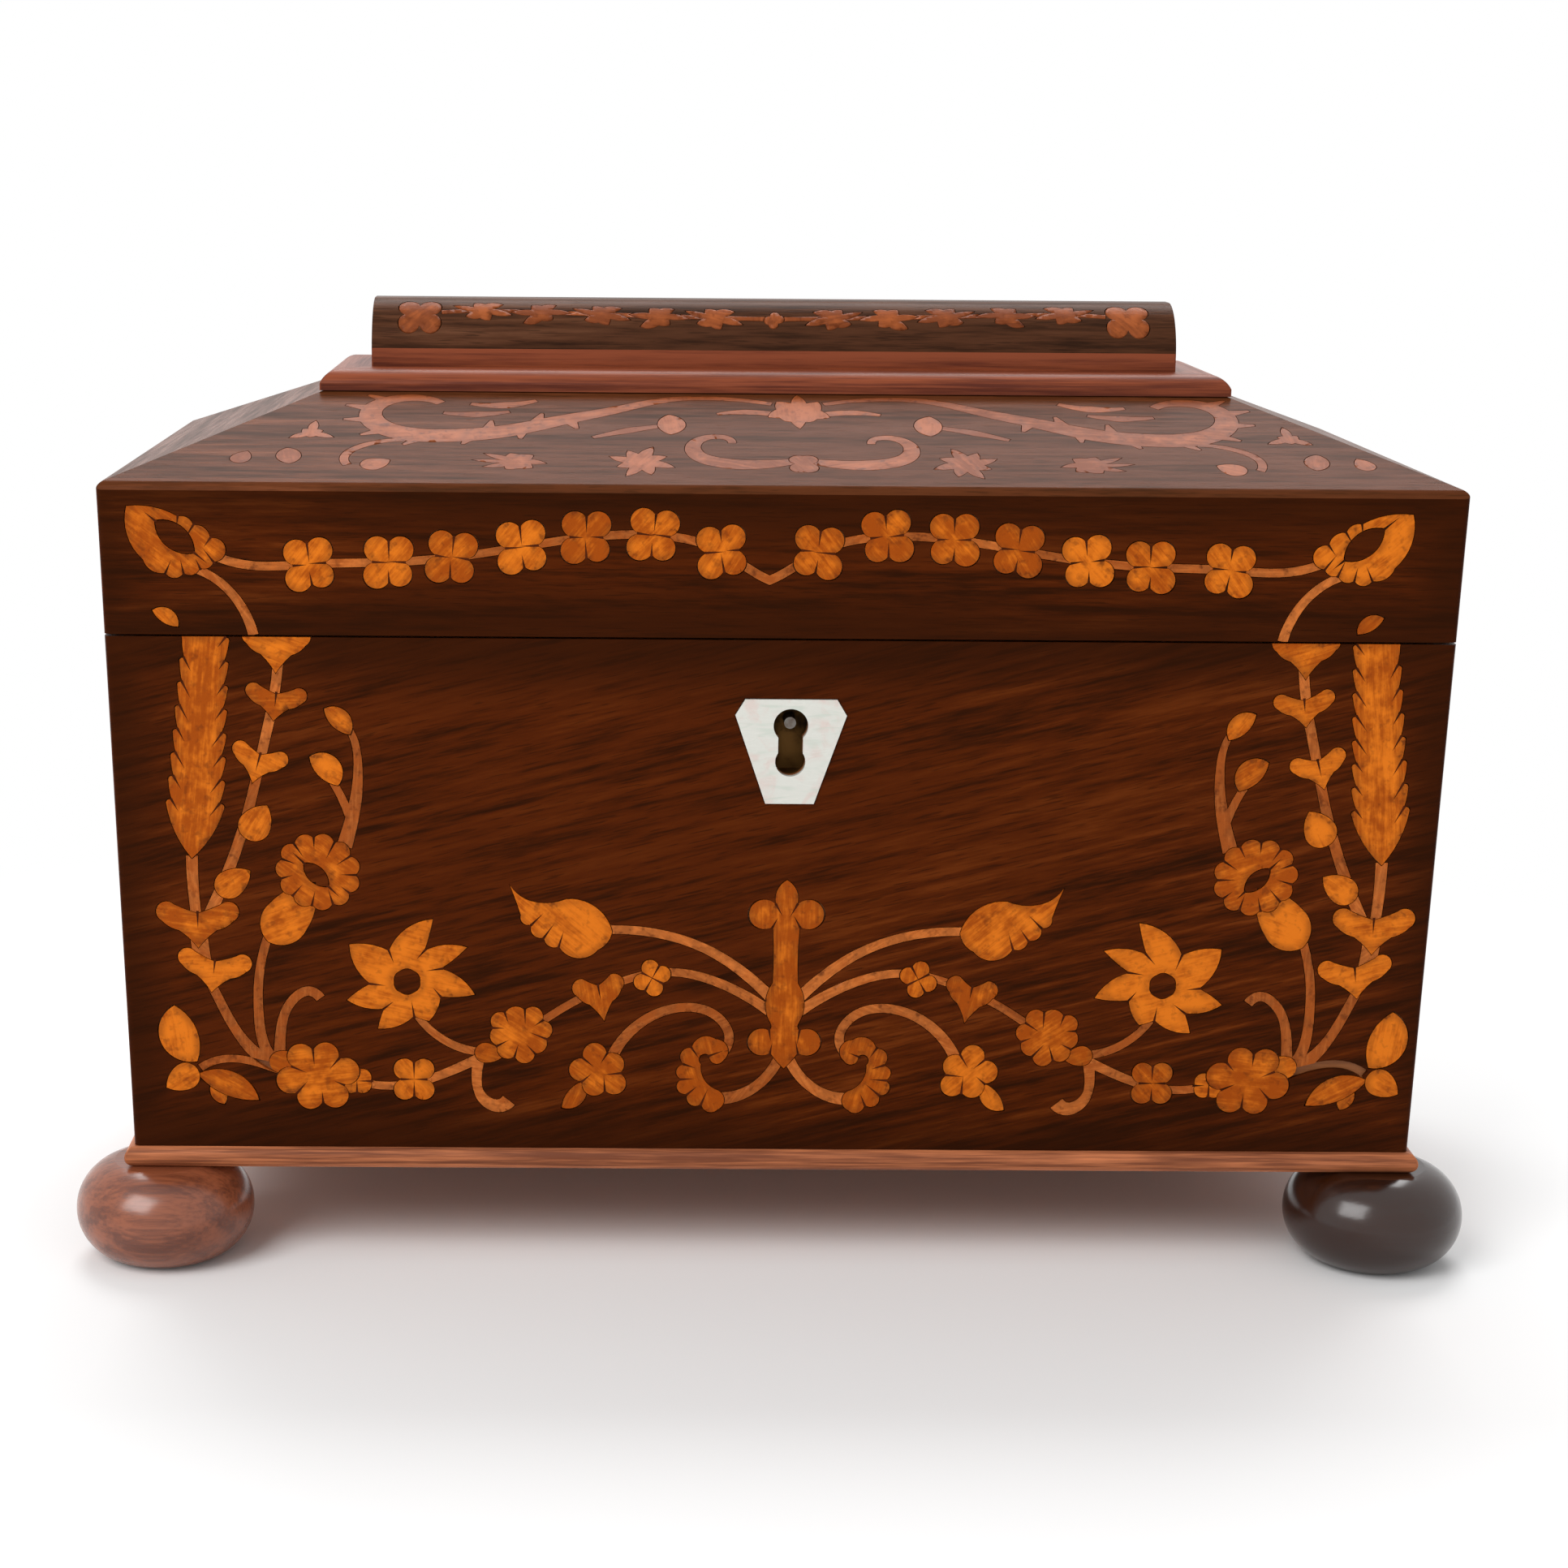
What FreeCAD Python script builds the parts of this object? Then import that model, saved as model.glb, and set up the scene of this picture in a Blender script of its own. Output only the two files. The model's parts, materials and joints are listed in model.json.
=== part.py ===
import FreeCAD, Part
import math
import os
import re
import Sketcher

# A hipped rosewood box with a hinged lid, floral marquetry and bun feet.
# Millimetres. The origin is on the floor under the middle, +Z is up and the front faces -Y.

# Sizes: name, value and meaning. Every one is set once here and read from the sheet.
SIZES = (
    ("lid_length", 250, "outside length at the lid's upper edge"),
    ("lid_depth", 118, "outside depth at the lid's upper edge"),
    ("side_lean", 3, "how far each side leans in from the lid's edge down to the foot of the case"),
    ("body_height", 99, "height of the case from the base moulding to the rim"),
    ("lid_wall_height", 27.6, "height of the upright part of the lid"),
    ("split_gap", 0.4, "dark joint between the lid and the case"),
    ("slope_run", 38, "level width of the sloped lid boards"),
    ("slope_rise", 14, "height of the sloped lid boards"),
    ("wall_thickness", 9, "thickness of the carcase boards"),
    ("bottom_thickness", 8, "thickness of the bottom board"),
    ("slope_thickness", 6, "thickness of the sloped boards"),
    ("veneer_thickness", 1, "thickness of the sawn veneer and of the inlay in it"),
    ("corner_radius", 1.2, "rounding of the upright corners and of the lid's edge"),
    ("base_moulding_height", 4, "height of the half-round base moulding"),
    ("base_moulding_width", 28, "width of the base moulding strips under the case"),
    ("base_moulding_reach", 2.2, "how far the base moulding stands out from the case"),
    ("foot_height", 19, "height of a bun foot under the moulding"),
    ("foot_diameter", 34, "widest diameter of a bun foot"),
    ("foot_waist_height", 9.5, "height of the widest part of a foot"),
    ("foot_pad_diameter", 19, "diameter of the flat that a foot stands on"),
    ("foot_neck_diameter", 19, "diameter of a foot where it meets the moulding"),
    ("foot_inset", 5, "distance of a foot's axis inside the case's lower edges"),
    ("foot_spigot_diameter", 7, "diameter of the spigot on a foot"),
    ("foot_spigot_length", 10, "length of the spigot on a foot"),
    ("moulding_height", 4, "height of the thumb moulding on the lid"),
    ("moulding_overhang", 0.8, "how far the thumb moulding stands over the slopes"),
    ("moulding_nose", 1.4, "height of the upright nose of the thumb moulding"),
    ("moulding_round", 4, "level width of the rounded part of the thumb moulding"),
    ("block_inset", 46.5, "distance of the top block inside the lid's upper edge"),
    ("fascia_height", 3.5, "height of the plain band under the cushion top"),
    ("crown_height", 9.3, "height of the cushion top"),
    ("crown_run", 10.5, "level width of the cushion's rounded front and back"),
    ("lining_thickness", 1, "thickness of the paper lining on its card"),
    ("lining_drop", 1.5, "distance of the lining's edge from the rim"),
    ("saw_kerf", 0.13, "gap left by the saw round each piece of inlay"),
    ("glue_bed", 0.02, "glue under the inlay and round the feet's spigots"),
    ("front_drawing_shift", 1.9, "how far the case's marquetry sits to the right of the middle"),
    ("lid_drawing_shift", -2.4, "how far the lid's marquetry sits to the right of the middle"),
    ("slope_drawing_shift", 4, "how far the slope's marquetry sits to the right of the middle"),
    ("hinge_spacing", 150, "distance between the middles of the two hinges"),
    ("hinge_length", 30, "length of a hinge"),
    ("hinge_leaf_width", 10, "reach of a hinge leaf from the pin"),
    ("hinge_leaf_thickness", 1.2, "thickness of a hinge leaf"),
    ("knuckle_diameter", 4.4, "outside diameter of the hinge knuckles"),
    ("knuckle_gap", 0.2, "play between neighbouring knuckles"),
    ("knuckle_clearance", 0.4, "gap between a knuckle and what it turns past"),
    ("pin_diameter", 2, "diameter of the hinge pins"),
    ("pin_clearance", 0.05, "running gap round the hinge pins"),
    ("screw_diameter", 1.8, "diameter of the small wood screws"),
    ("screw_head_diameter", 3.4, "diameter of their countersunk heads"),
    ("screw_head_height", 0.8, "height of their countersunk heads"),
    ("screw_length", 5, "length of the small wood screws"),
    ("screw_slot_width", 0.5, "width of the slots in the screw heads"),
    ("screw_slot_depth", 0.35, "depth of the slots in the screw heads"),
    ("fit_clearance", 0.1, "gap between fitted metal and the wood round it"),
    ("keyhole_offset", 2, "distance of the keyhole to the right of the middle"),
    ("keyhole_drop", 16, "distance of the keyhole's upper circle under the rim"),
    ("keyhole_diameter", 6.4, "diameter of the keyhole's upper circle"),
    ("keyhole_foot_diameter", 5.6, "diameter of the keyhole's lower circle"),
    ("keyhole_foot_drop", 6.8, "distance between the two circles of the keyhole"),
    ("keyhole_waist", 4.6, "width of the keyhole between its circles"),
    ("escutcheon_drop", 11, "distance of the escutcheon's upper edge under the rim"),
    ("escutcheon_height", 19.8, "height of the escutcheon"),
    ("escutcheon_width", 20.6, "greatest width of the escutcheon"),
    ("escutcheon_top_width", 17, "width of the escutcheon's upper edge"),
    ("escutcheon_foot_width", 9, "width of the escutcheon's lower edge"),
    ("escutcheon_clip", 3, "height of the clipped corners of the escutcheon"),
    ("escutcheon_proud", 0.35, "how far the escutcheon stands out of the veneer"),
    ("lock_length", 62, "length of the lock's plate"),
    ("lock_height", 30, "height of the lock's plate"),
    ("lock_depth", 7, "depth of the lock's case"),
    ("lock_case_length", 50, "length of the lock's case"),
    ("lock_case_height", 27, "height of the lock's case"),
    ("lock_wall", 1.2, "thickness of the lock's plates and walls"),
    ("selvedge_width", 8, "width of the lock's upper plate in the rim"),
    ("key_pin_diameter", 2.2, "diameter of the pin that the key turns on"),
    ("hook_spacing", 20, "distance between the two hooks of the link plate"),
    ("hook_width", 2.5, "width of a hook's shank"),
    ("hook_thickness", 2.2, "thickness of the hooks"),
    ("hook_nose", 4, "reach of a hook's nose"),
    ("hook_nose_height", 2.2, "height of a hook's nose"),
    ("hook_reach", 8.5, "reach of the hooks under the rim"),
    ("hook_play", 0.8, "play of a hook in its slot"),
    ("bolt_thickness", 2.6, "thickness of the bolt"),
    ("bolt_travel", 4.2, "travel of the bolt from unlocked to locked"),
    ("bolt_play", 0.4, "gap between the bolt and the hooks"),
    ("bolt_arm_width", 3, "width of the bolt's arms"),
    ("bolt_bar_height", 3.2, "height of the bolt's bar"),
    ("bolt_bar_drop", 10.6, "distance of the bar's upper edge under the rim"),
    ("talon_width", 4, "width of the notch that the key drives"),
    ("talon_depth", 1.9, "depth of the notch that the key drives"),
    ("spring_thickness", 0.6, "thickness of the lock's bow spring"),
    ("link_plate_length", 54, "length of the plate in the lid's edge"),
    ("link_plate_thickness", 1.5, "thickness of the plate in the lid's edge"),
    ("link_screw_spacing", 43.2, "distance between the two screws of the link plate"),
)
SIZE_NAMES = [name for name, value, meaning in SIZES]

# Levels and insets that follow from the sizes. An inset runs inwards from the lid's upper edge.
RULES = {
    "half_length": "lid_length / 2",
    "half_depth": "lid_depth / 2",
    "base_level": "foot_height + base_moulding_height",
    "rim_level": "base_level + body_height",
    "lid_foot_level": "rim_level + split_gap",
    "edge_level": "lid_foot_level + lid_wall_height",
    "ridge_level": "edge_level + slope_rise",
    "fascia_level": "ridge_level + moulding_height",
    "crown_level": "fascia_level + fascia_height",
    "top_level": "crown_level + crown_height",
    "lean_height": "edge_level - base_level",
    "rim_inset": "side_lean * (edge_level - rim_level) / lean_height",
    "lid_foot_inset": "side_lean * lid_wall_height / lean_height",
    "lean_angle": "atan(side_lean / lean_height)",
    "pitch": "slope_rise / slope_run",
    "slope_stretch": "sqrt(slope_run * slope_run + slope_rise * slope_rise) / slope_run",
    "veneer_drop": "veneer_thickness * slope_stretch",
    "board_drop": "(veneer_thickness + slope_thickness) * slope_stretch",
    "block_half_length": "half_length - block_inset",
    "block_half_depth": "half_depth - block_inset",
    "crown_radius": "(crown_run * crown_run + crown_height * crown_height) / (2 * crown_height)",
    "core_radius": "crown_radius - veneer_thickness",
    "core_foot": "crown_run - sqrt(core_radius * core_radius - (crown_radius - crown_height)"
                 " * (crown_radius - crown_height))",
    "foot_across": "half_length - side_lean - foot_inset",
    "foot_along": "half_depth - side_lean - foot_inset",
    "lock_reach": "half_depth - rim_inset - veneer_thickness - wall_thickness",
    "key_level": "rim_level - keyhole_drop",
    "pin_level": "rim_level + split_gap / 2",
    "knuckle_radius": "knuckle_diameter / 2",
    "pin_reach": "half_depth - rim_inset + knuckle_radius + fit_clearance",
    "knuckle_length": "hinge_length / 5",
    "hook_middle": "lock_reach + lock_depth / 2",
}

doc = FreeCAD.newDocument("marquetry_box")
sheet = doc.addObject("Spreadsheet::Sheet", "Sizes")
for row, (name, value, meaning) in enumerate(SIZES, start=1):
    sheet.set(f"A{row}", name)
    sheet.set(f"B{row}", str(value))
    sheet.setAlias(f"B{row}", name)
    sheet.set(f"C{row}", meaning)
doc.recompute()

nodes = []


def bound(rule):
    """Write a rule out as an expression on the sheet."""
    def word(match):
        name = match.group()
        if name in RULES:
            return "(" + bound(RULES[name]) + ")"
        if name in SIZE_NAMES:
            return "Sizes." + name
        return name

    return re.sub(r"[a-z_]+", word, rule)


def value(rule):
    """Work a rule out as a number of millimetres or degrees."""
    result = sheet.evalExpression(bound(rule))
    return float(getattr(result, "Value", result))


def lean_at(level):
    """Inset of the leaning outer face at a level."""
    return f"side_lean * (edge_level - ({level})) / lean_height"


def node(label, thing):
    """Give a finished sub-part its name and keep it for writing."""
    thing.Label = label
    nodes.append(thing)
    return thing


# Sketches and the features made from them

def new_body(name):
    return doc.addObject("PartDesign::Body", name)


def outline(body, plane, corners, level="0"):
    """Sketch a closed outline on one of the body's own planes.

    A corner is (x, y), or (x, y, radius, side) where the edge that leaves it is an arc
    bulging to the right (1) or the left (-1) of the way round.
    """
    sketch = body.newObject("Sketcher::SketchObject", body.Name + "_outline")
    origin_plane = [part for part in body.Origin.OriginFeatures if part.Role == plane][0]
    sketch.AttachmentSupport = (origin_plane, [""])
    sketch.MapMode = "FlatFace"
    sketch.setExpression("AttachmentOffset.Base.z", bound(level))
    points = [FreeCAD.Vector(value(corner[0]), value(corner[1]), 0) for corner in corners]
    ends = []
    for corner, start, stop in zip(corners, points, points[1:] + points[:1]):
        if len(corner) == 2:
            sketch.addGeometry(Part.LineSegment(start, stop), False)
            ends.append((1, 2))
            continue
        radius = value(corner[2])
        side = corner[3]
        chord = stop - start
        rise = math.sqrt(radius ** 2 - (chord.Length / 2) ** 2)
        across = FreeCAD.Vector(-chord.y, chord.x, 0).normalize() * side
        centre = (start + stop) * 0.5 + across * rise
        first, last = (start - centre, stop - centre) if side > 0 else (stop - centre, start - centre)
        begin = math.atan2(first.y, first.x)
        turn = (math.atan2(last.y, last.x) - begin) % math.tau
        circle = Part.Circle(centre, FreeCAD.Vector(0, 0, 1), radius)
        sketch.addGeometry(Part.ArcOfCircle(circle, begin, begin + turn), False)
        ends.append((1, 2) if side > 0 else (2, 1))
    count = len(corners)
    for edge in range(count):
        after = (edge + 1) % count
        sketch.addConstraint(Sketcher.Constraint("Coincident", edge, ends[edge][1], after, ends[after][0]))
    for edge, (corner, point) in enumerate(zip(corners, points)):
        for kind, rule, amount in (("DistanceX", corner[0], point.x), ("DistanceY", corner[1], point.y)):
            link = Sketcher.Constraint(kind, -1, 1, edge, ends[edge][0], amount)
            sketch.setExpression(f"Constraints[{sketch.addConstraint(link)}]", bound(rule))
        if len(corner) > 2:
            link = Sketcher.Constraint("Radius", edge, value(corner[2]))
            sketch.setExpression(f"Constraints[{sketch.addConstraint(link)}]", bound(corner[2]))
    return sketch


def pad(body, sketch, length, side="Symmetric"):
    feature = body.newObject("PartDesign::Pad", body.Name + "_pad")
    feature.Profile = sketch
    feature.SideType = side
    feature.setExpression("Length", bound(length))
    return feature


def stand(thing, place, axis=(0, 0, 1), angle="0"):
    """Put a sub-part at a place, turned by an angle about an axis."""
    turn = FreeCAD.Rotation(FreeCAD.Vector(*axis), value(angle))
    thing.Placement = FreeCAD.Placement(FreeCAD.Vector(), turn)
    for letter, rule in zip("xyz", place):
        thing.setExpression(f"Placement.Base.{letter}", bound(rule))
    if angle != "0":
        thing.setExpression("Placement.Rotation.Angle", bound(angle))


SIDES = (
    ("front", "0", "half_length", "half_depth"),
    ("right", "90", "half_depth", "half_length"),
    ("back", "180", "half_length", "half_depth"),
    ("left", "270", "half_depth", "half_length"),
)


def mitred_strips(name, section):
    """Make four strips with one section, mitred together round the box.

    The section's corners are (inset from the lid's upper edge, level).
    """
    strips = {}
    for side, angle, half, reach in SIDES:
        body = new_body(f"{side}_{name}")
        corners = [(f"({inset}) - {reach}", level, *arc) for inset, level, *arc in section]
        pad(body, outline(body, "YZ_Plane", corners), f"2 * {half}")
        for way in (1, -1):
            triangle = [
                (f"{way} * {half}", f"0 - {reach}"),
                (f"{way} * ({half} - half_depth)", f"half_depth - {reach}"),
                (f"{way} * {half}", f"half_depth - {reach}"),
            ]
            mitre = body.newObject("PartDesign::Pocket", body.Name + "_mitre")
            mitre.Profile = outline(body, "XY_Plane", triangle)
            mitre.SideType = "Symmetric"
            mitre.Type = "ThroughAll"
        stand(body, ("0", "0", "0"), angle=angle)
        strips[side] = body
    return strips


# Simple solids and what is done with them

def block(low, size):
    solid = doc.addObject("Part::Box", "block")
    for letter, rule in zip("xyz", low):
        solid.setExpression(f"Placement.Base.{letter}", bound(rule))
    for side, rule in zip(("Length", "Width", "Height"), size):
        solid.setExpression(side, bound(rule))
    return solid


# Turns that lay a solid's own Z axis along a direction of the box.
TURNS = {
    "up": FreeCAD.Rotation(),
    "down": FreeCAD.Rotation(FreeCAD.Vector(1, 0, 0), 180),
    "front": FreeCAD.Rotation(FreeCAD.Vector(1, 0, 0), 90),
    "right": FreeCAD.Rotation(FreeCAD.Vector(0, 1, 0), 90),
}


def rod(foot, radius, length, way="up"):
    solid = doc.addObject("Part::Cylinder", "rod")
    solid.Placement = FreeCAD.Placement(FreeCAD.Vector(), TURNS[way])
    for letter, rule in zip("xyz", foot):
        solid.setExpression(f"Placement.Base.{letter}", bound(rule))
    solid.setExpression("Radius", bound(radius))
    solid.setExpression("Height", bound(length))
    return solid


def taper(foot, foot_radius, end_radius, length, way):
    solid = doc.addObject("Part::Cone", "taper")
    solid.Placement = FreeCAD.Placement(FreeCAD.Vector(), TURNS[way])
    for letter, rule in zip("xyz", foot):
        solid.setExpression(f"Placement.Base.{letter}", bound(rule))
    solid.setExpression("Radius1", bound(foot_radius))
    solid.setExpression("Radius2", bound(end_radius))
    solid.setExpression("Height", bound(length))
    return solid


def fused(things):
    joined = doc.addObject("Part::MultiFuse", "joined")
    joined.Shapes = things
    return joined


def cut(base, *tools):
    """Take one or more solids out of another."""
    left = doc.addObject("Part::Cut", "cut")
    left.Base = base
    left.Tool = tools[0] if len(tools) == 1 else fused(list(tools))
    return left


def common(first, second):
    shared = doc.addObject("Part::Common", "shared")
    shared.Base = first
    shared.Tool = second
    return shared


def group(things):
    """Keep several solids of one kind as one sub-part."""
    kept = doc.addObject("Part::Compound", "group")
    kept.Links = things
    return kept


def frustum(low, high, low_inset, high_inset):
    """A solid between two levels whose four faces have the given insets there."""
    solid = doc.addObject("Part::Wedge", "frustum")
    solid.Placement = FreeCAD.Placement(FreeCAD.Vector(), TURNS["front"])
    for name, rule in (
        ("Xmin", f"({low_inset}) - half_length"), ("Xmax", f"half_length - ({low_inset})"),
        ("X2min", f"({high_inset}) - half_length"), ("X2max", f"half_length - ({high_inset})"),
        ("Zmin", f"({low_inset}) - half_depth"), ("Zmax", f"half_depth - ({low_inset})"),
        ("Z2min", f"({high_inset}) - half_depth"), ("Z2max", f"half_depth - ({high_inset})"),
        ("Ymin", low), ("Ymax", high),
    ):
        solid.setExpression(name, bound(rule))
    return solid


def screws(places, way):
    """Countersunk screws, and the holes for them, with their heads at the given places."""
    solids = []
    holes = []
    slot_turned = way == "front"
    for x, y, z in places:
        place = (x, y, z)
        head = taper(place, "screw_head_diameter / 2", "screw_diameter / 2", "screw_head_height", way)
        shank = rod(place, "screw_diameter / 2", "screw_length", way)
        low_y = {"front": f"{y} - screw_slot_depth", "down": f"{y} - screw_slot_width / 2",
                 "up": f"{y} - screw_slot_width / 2"}[way]
        low_z = {"front": f"{z} - screw_slot_width / 2", "down": f"{z} - screw_slot_depth", "up": z}[way]
        slot = block(
            (f"{x} - screw_head_diameter / 2", low_y, low_z),
            ("screw_head_diameter",
             "screw_slot_depth" if slot_turned else "screw_slot_width",
             "screw_slot_width" if slot_turned else "screw_slot_depth"),
        )
        solids.append(cut(fused([head, shank]), slot))
        holes.append(taper(place, "screw_head_diameter / 2 + glue_bed", "screw_diameter / 2 + glue_bed",
                           "screw_head_height", way))
        holes.append(rod(place, "screw_diameter / 2 + glue_bed", "screw_length + glue_bed", way))
    return group(solids), fused(holes)


# The form that rounds the upright corners of the veneers
form = new_body("wall_form")
form_base = outline(form, "XY_Plane", [
    ("side_lean - half_length", "side_lean - half_depth"),
    ("half_length - side_lean", "side_lean - half_depth"),
    ("half_length - side_lean", "half_depth - side_lean"),
    ("side_lean - half_length", "half_depth - side_lean"),
], level="base_level")
form_pad = pad(form, form_base, "lean_height + slope_rise", side="One side")
form_pad.setExpression("TaperAngle", bound("lean_angle"))
doc.recompute()
form_round = form.newObject("PartDesign::Fillet", "wall_form_round")
form_round.Base = (form_pad, [
    f"Edge{number}" for number, edge in enumerate(form_pad.Shape.Edges, start=1)
    if abs(edge.Vertexes[0].Z - edge.Vertexes[-1].Z) > edge.Length / 2
])
form_round.setExpression("Radius", bound("corner_radius"))

# Case walls, bottom and veneer
wall_foot = "base_level + bottom_thickness"
walls = mitred_strips("board_blank", [
    (f"{lean_at(wall_foot)} + veneer_thickness", wall_foot),
    ("rim_inset + veneer_thickness", "rim_level"),
    ("rim_inset + veneer_thickness + wall_thickness", "rim_level"),
    (f"{lean_at(wall_foot)} + veneer_thickness + wall_thickness", wall_foot),
])
case_sheets = mitred_strips("veneer_blank", [
    ("side_lean", "base_level"),
    ("rim_inset", "rim_level"),
    ("rim_inset + veneer_thickness", "rim_level"),
    ("side_lean + veneer_thickness", "base_level"),
])
case_veneers = {side: common(sheet_body, form) for side, sheet_body in case_sheets.items()}

# Feet with spigots through the base moulding into the bottom board
foot_places = [(f"{x} * foot_across", f"{y} * foot_along") for y in (-1, 1) for x in (-1, 1)]
lower_curve = ("((foot_diameter - foot_pad_diameter) * (foot_diameter - foot_pad_diameter) / 4"
               " + foot_waist_height * foot_waist_height) / (foot_diameter - foot_pad_diameter)")
upper_curve = ("((foot_diameter - foot_neck_diameter) * (foot_diameter - foot_neck_diameter) / 4"
               " + (foot_height - foot_waist_height) * (foot_height - foot_waist_height))"
               " / (foot_diameter - foot_neck_diameter)")
foot_names = ("front_left_foot", "front_right_foot", "back_left_foot", "back_right_foot")
for label, (x, y) in zip(foot_names, foot_places):
    foot = new_body(label)
    profile = outline(foot, "XZ_Plane", [
        ("0", "0"),
        ("foot_pad_diameter / 2", "0", lower_curve, 1),
        ("foot_diameter / 2", "foot_waist_height", upper_curve, 1),
        ("foot_neck_diameter / 2", "foot_height"),
        ("foot_spigot_diameter / 2", "foot_height"),
        ("foot_spigot_diameter / 2", "foot_height + foot_spigot_length"),
        ("0", "foot_height + foot_spigot_length"),
    ])
    turned = foot.newObject("PartDesign::Revolution", label + "_turned")
    turned.Profile = profile
    turned.ReferenceAxis = (profile, ["V_Axis"])
    turned.Angle = 360
    stand(foot, (x, y, "0"))
    node(label, foot)
spigot_holes = fused([
    rod((x, y, "foot_height"), "foot_spigot_diameter / 2 + glue_bed", "foot_spigot_length + glue_bed")
    for x, y in foot_places
])
bottom = block(
    ("side_lean + veneer_thickness - half_length", "side_lean + veneer_thickness - half_depth", "base_level"),
    ("2 * (half_length - side_lean - veneer_thickness)", "2 * (half_depth - side_lean - veneer_thickness)",
     "bottom_thickness"),
)
node("bottom_board", cut(bottom, spigot_holes))
base_strips = mitred_strips("base_strip", [
    ("side_lean - base_moulding_reach + base_moulding_height / 2", "base_level",
     "base_moulding_height / 2 + fit_clearance", 1),
    ("side_lean - base_moulding_reach + base_moulding_height / 2", "foot_height"),
    ("side_lean - base_moulding_reach + base_moulding_width", "foot_height"),
    ("side_lean - base_moulding_reach + base_moulding_width", "base_level"),
])
node("base_mouldings", cut(group(list(base_strips.values())), spigot_holes))

# Lid walls, slopes and their veneer
outer_top = "edge_level - board_drop + pitch * veneer_thickness"
inner_top = "edge_level - board_drop + pitch * (veneer_thickness + wall_thickness)"
slope_edge = "edge_level - veneer_drop + pitch * veneer_thickness"
outer_inset = f"({lean_at(outer_top)} + veneer_thickness)"
inner_inset_top = f"({lean_at(inner_top)} + veneer_thickness + wall_thickness)"
board_pitch = f"(ridge_level - board_drop - ({outer_top})) / (slope_run - {outer_inset})"
lid_walls = mitred_strips("lid_wall_blank", [
    ("lid_foot_inset + veneer_thickness", "lid_foot_level"),
    (outer_inset, outer_top),
    (inner_inset_top, f"{outer_top} + {board_pitch} * ({inner_inset_top} - {outer_inset})"),
    ("lid_foot_inset + veneer_thickness + wall_thickness", "lid_foot_level"),
])
lid_sheets = mitred_strips("lid_sheet", [
    ("lid_foot_inset", "lid_foot_level"),
    (lean_at("edge_level - veneer_drop"), "edge_level - veneer_drop"),
    (f"{lean_at(slope_edge)} + veneer_thickness", slope_edge),
    ("lid_foot_inset + veneer_thickness", "lid_foot_level"),
])
lid_veneers = {side: common(sheet_body, form) for side, sheet_body in lid_sheets.items()}
slopes = mitred_strips("slope_board", [
    (outer_inset, outer_top),
    (f"{lean_at(slope_edge)} + veneer_thickness", slope_edge),
    ("slope_run", "ridge_level - veneer_drop"),
    ("slope_run", "ridge_level - board_drop"),
])
slope_sheets = mitred_strips("slope_sheet", [
    ("0", "edge_level - veneer_drop", "2 * corner_radius", -1),
    ("corner_radius", "edge_level + pitch * corner_radius"),
    ("slope_run", "ridge_level"),
    ("slope_run", "ridge_level - veneer_drop"),
])
slope_veneers = {side: common(sheet_body, form) for side, sheet_body in slope_sheets.items()}
for side in ("front", "right", "back", "left"):
    node(f"{side}_slope", slopes[side])
node("lid_top_board", block(
    ("slope_run - half_length", "slope_run - half_depth", "ridge_level - board_drop"),
    ("2 * (half_length - slope_run)", "2 * (half_depth - slope_run)", "board_drop"),
))

# Thumb moulding, plain band and cushion top
nose_curve = ("(moulding_round * moulding_round + (moulding_height - moulding_nose)"
              " * (moulding_height - moulding_nose)) / (2 * (moulding_height - moulding_nose))")
moulding_strips = mitred_strips("moulding_strip", [
    ("slope_run - moulding_overhang", "ridge_level"),
    ("slope_run - moulding_overhang", "ridge_level + moulding_nose", nose_curve, -1),
    ("slope_run - moulding_overhang + moulding_round", "fascia_level"),
    ("block_inset", "fascia_level"),
    ("block_inset", "ridge_level"),
])
node("plinth_mouldings", group(list(moulding_strips.values())))
node("plinth_board", block(
    ("0 - block_half_length", "0 - block_half_depth", "ridge_level"),
    ("2 * block_half_length", "2 * block_half_depth", "moulding_height + fascia_height"),
))
crown_flat = "block_half_depth - crown_run"
core_profile = [
    ("core_foot - block_half_depth", "crown_level", "core_radius", -1),
    (f"0 - ({crown_flat})", "top_level - veneer_thickness"),
    (crown_flat, "top_level - veneer_thickness", "core_radius", -1),
    ("block_half_depth - core_foot", "crown_level"),
]
core = new_body("crown_core")
pad(core, outline(core, "YZ_Plane", core_profile), "2 * (block_half_length - veneer_thickness)")
node("crown_core", core)
crown_ends = []
for way in (-1, 1):
    crown_end = new_body("crown_end")
    pad(crown_end, outline(crown_end, "YZ_Plane", core_profile), "veneer_thickness")
    stand(crown_end, (f"{way} * (block_half_length - veneer_thickness / 2)", "0", "0"))
    crown_ends.append(crown_end)
node("crown_end_veneers", group(crown_ends))
crown_sheet = new_body("crown_sheet")
pad(crown_sheet, outline(crown_sheet, "YZ_Plane", [
    ("0 - block_half_depth", "crown_level", "crown_radius", -1),
    (f"0 - ({crown_flat})", "top_level"),
    (crown_flat, "top_level", "crown_radius", -1),
    ("block_half_depth", "crown_level"),
    ("block_half_depth - core_foot", "crown_level", "core_radius", 1),
    (crown_flat, "top_level - veneer_thickness"),
    (f"0 - ({crown_flat})", "top_level - veneer_thickness", "core_radius", 1),
    ("core_foot - block_half_depth", "crown_level"),
]), "2 * block_half_length")

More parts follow.
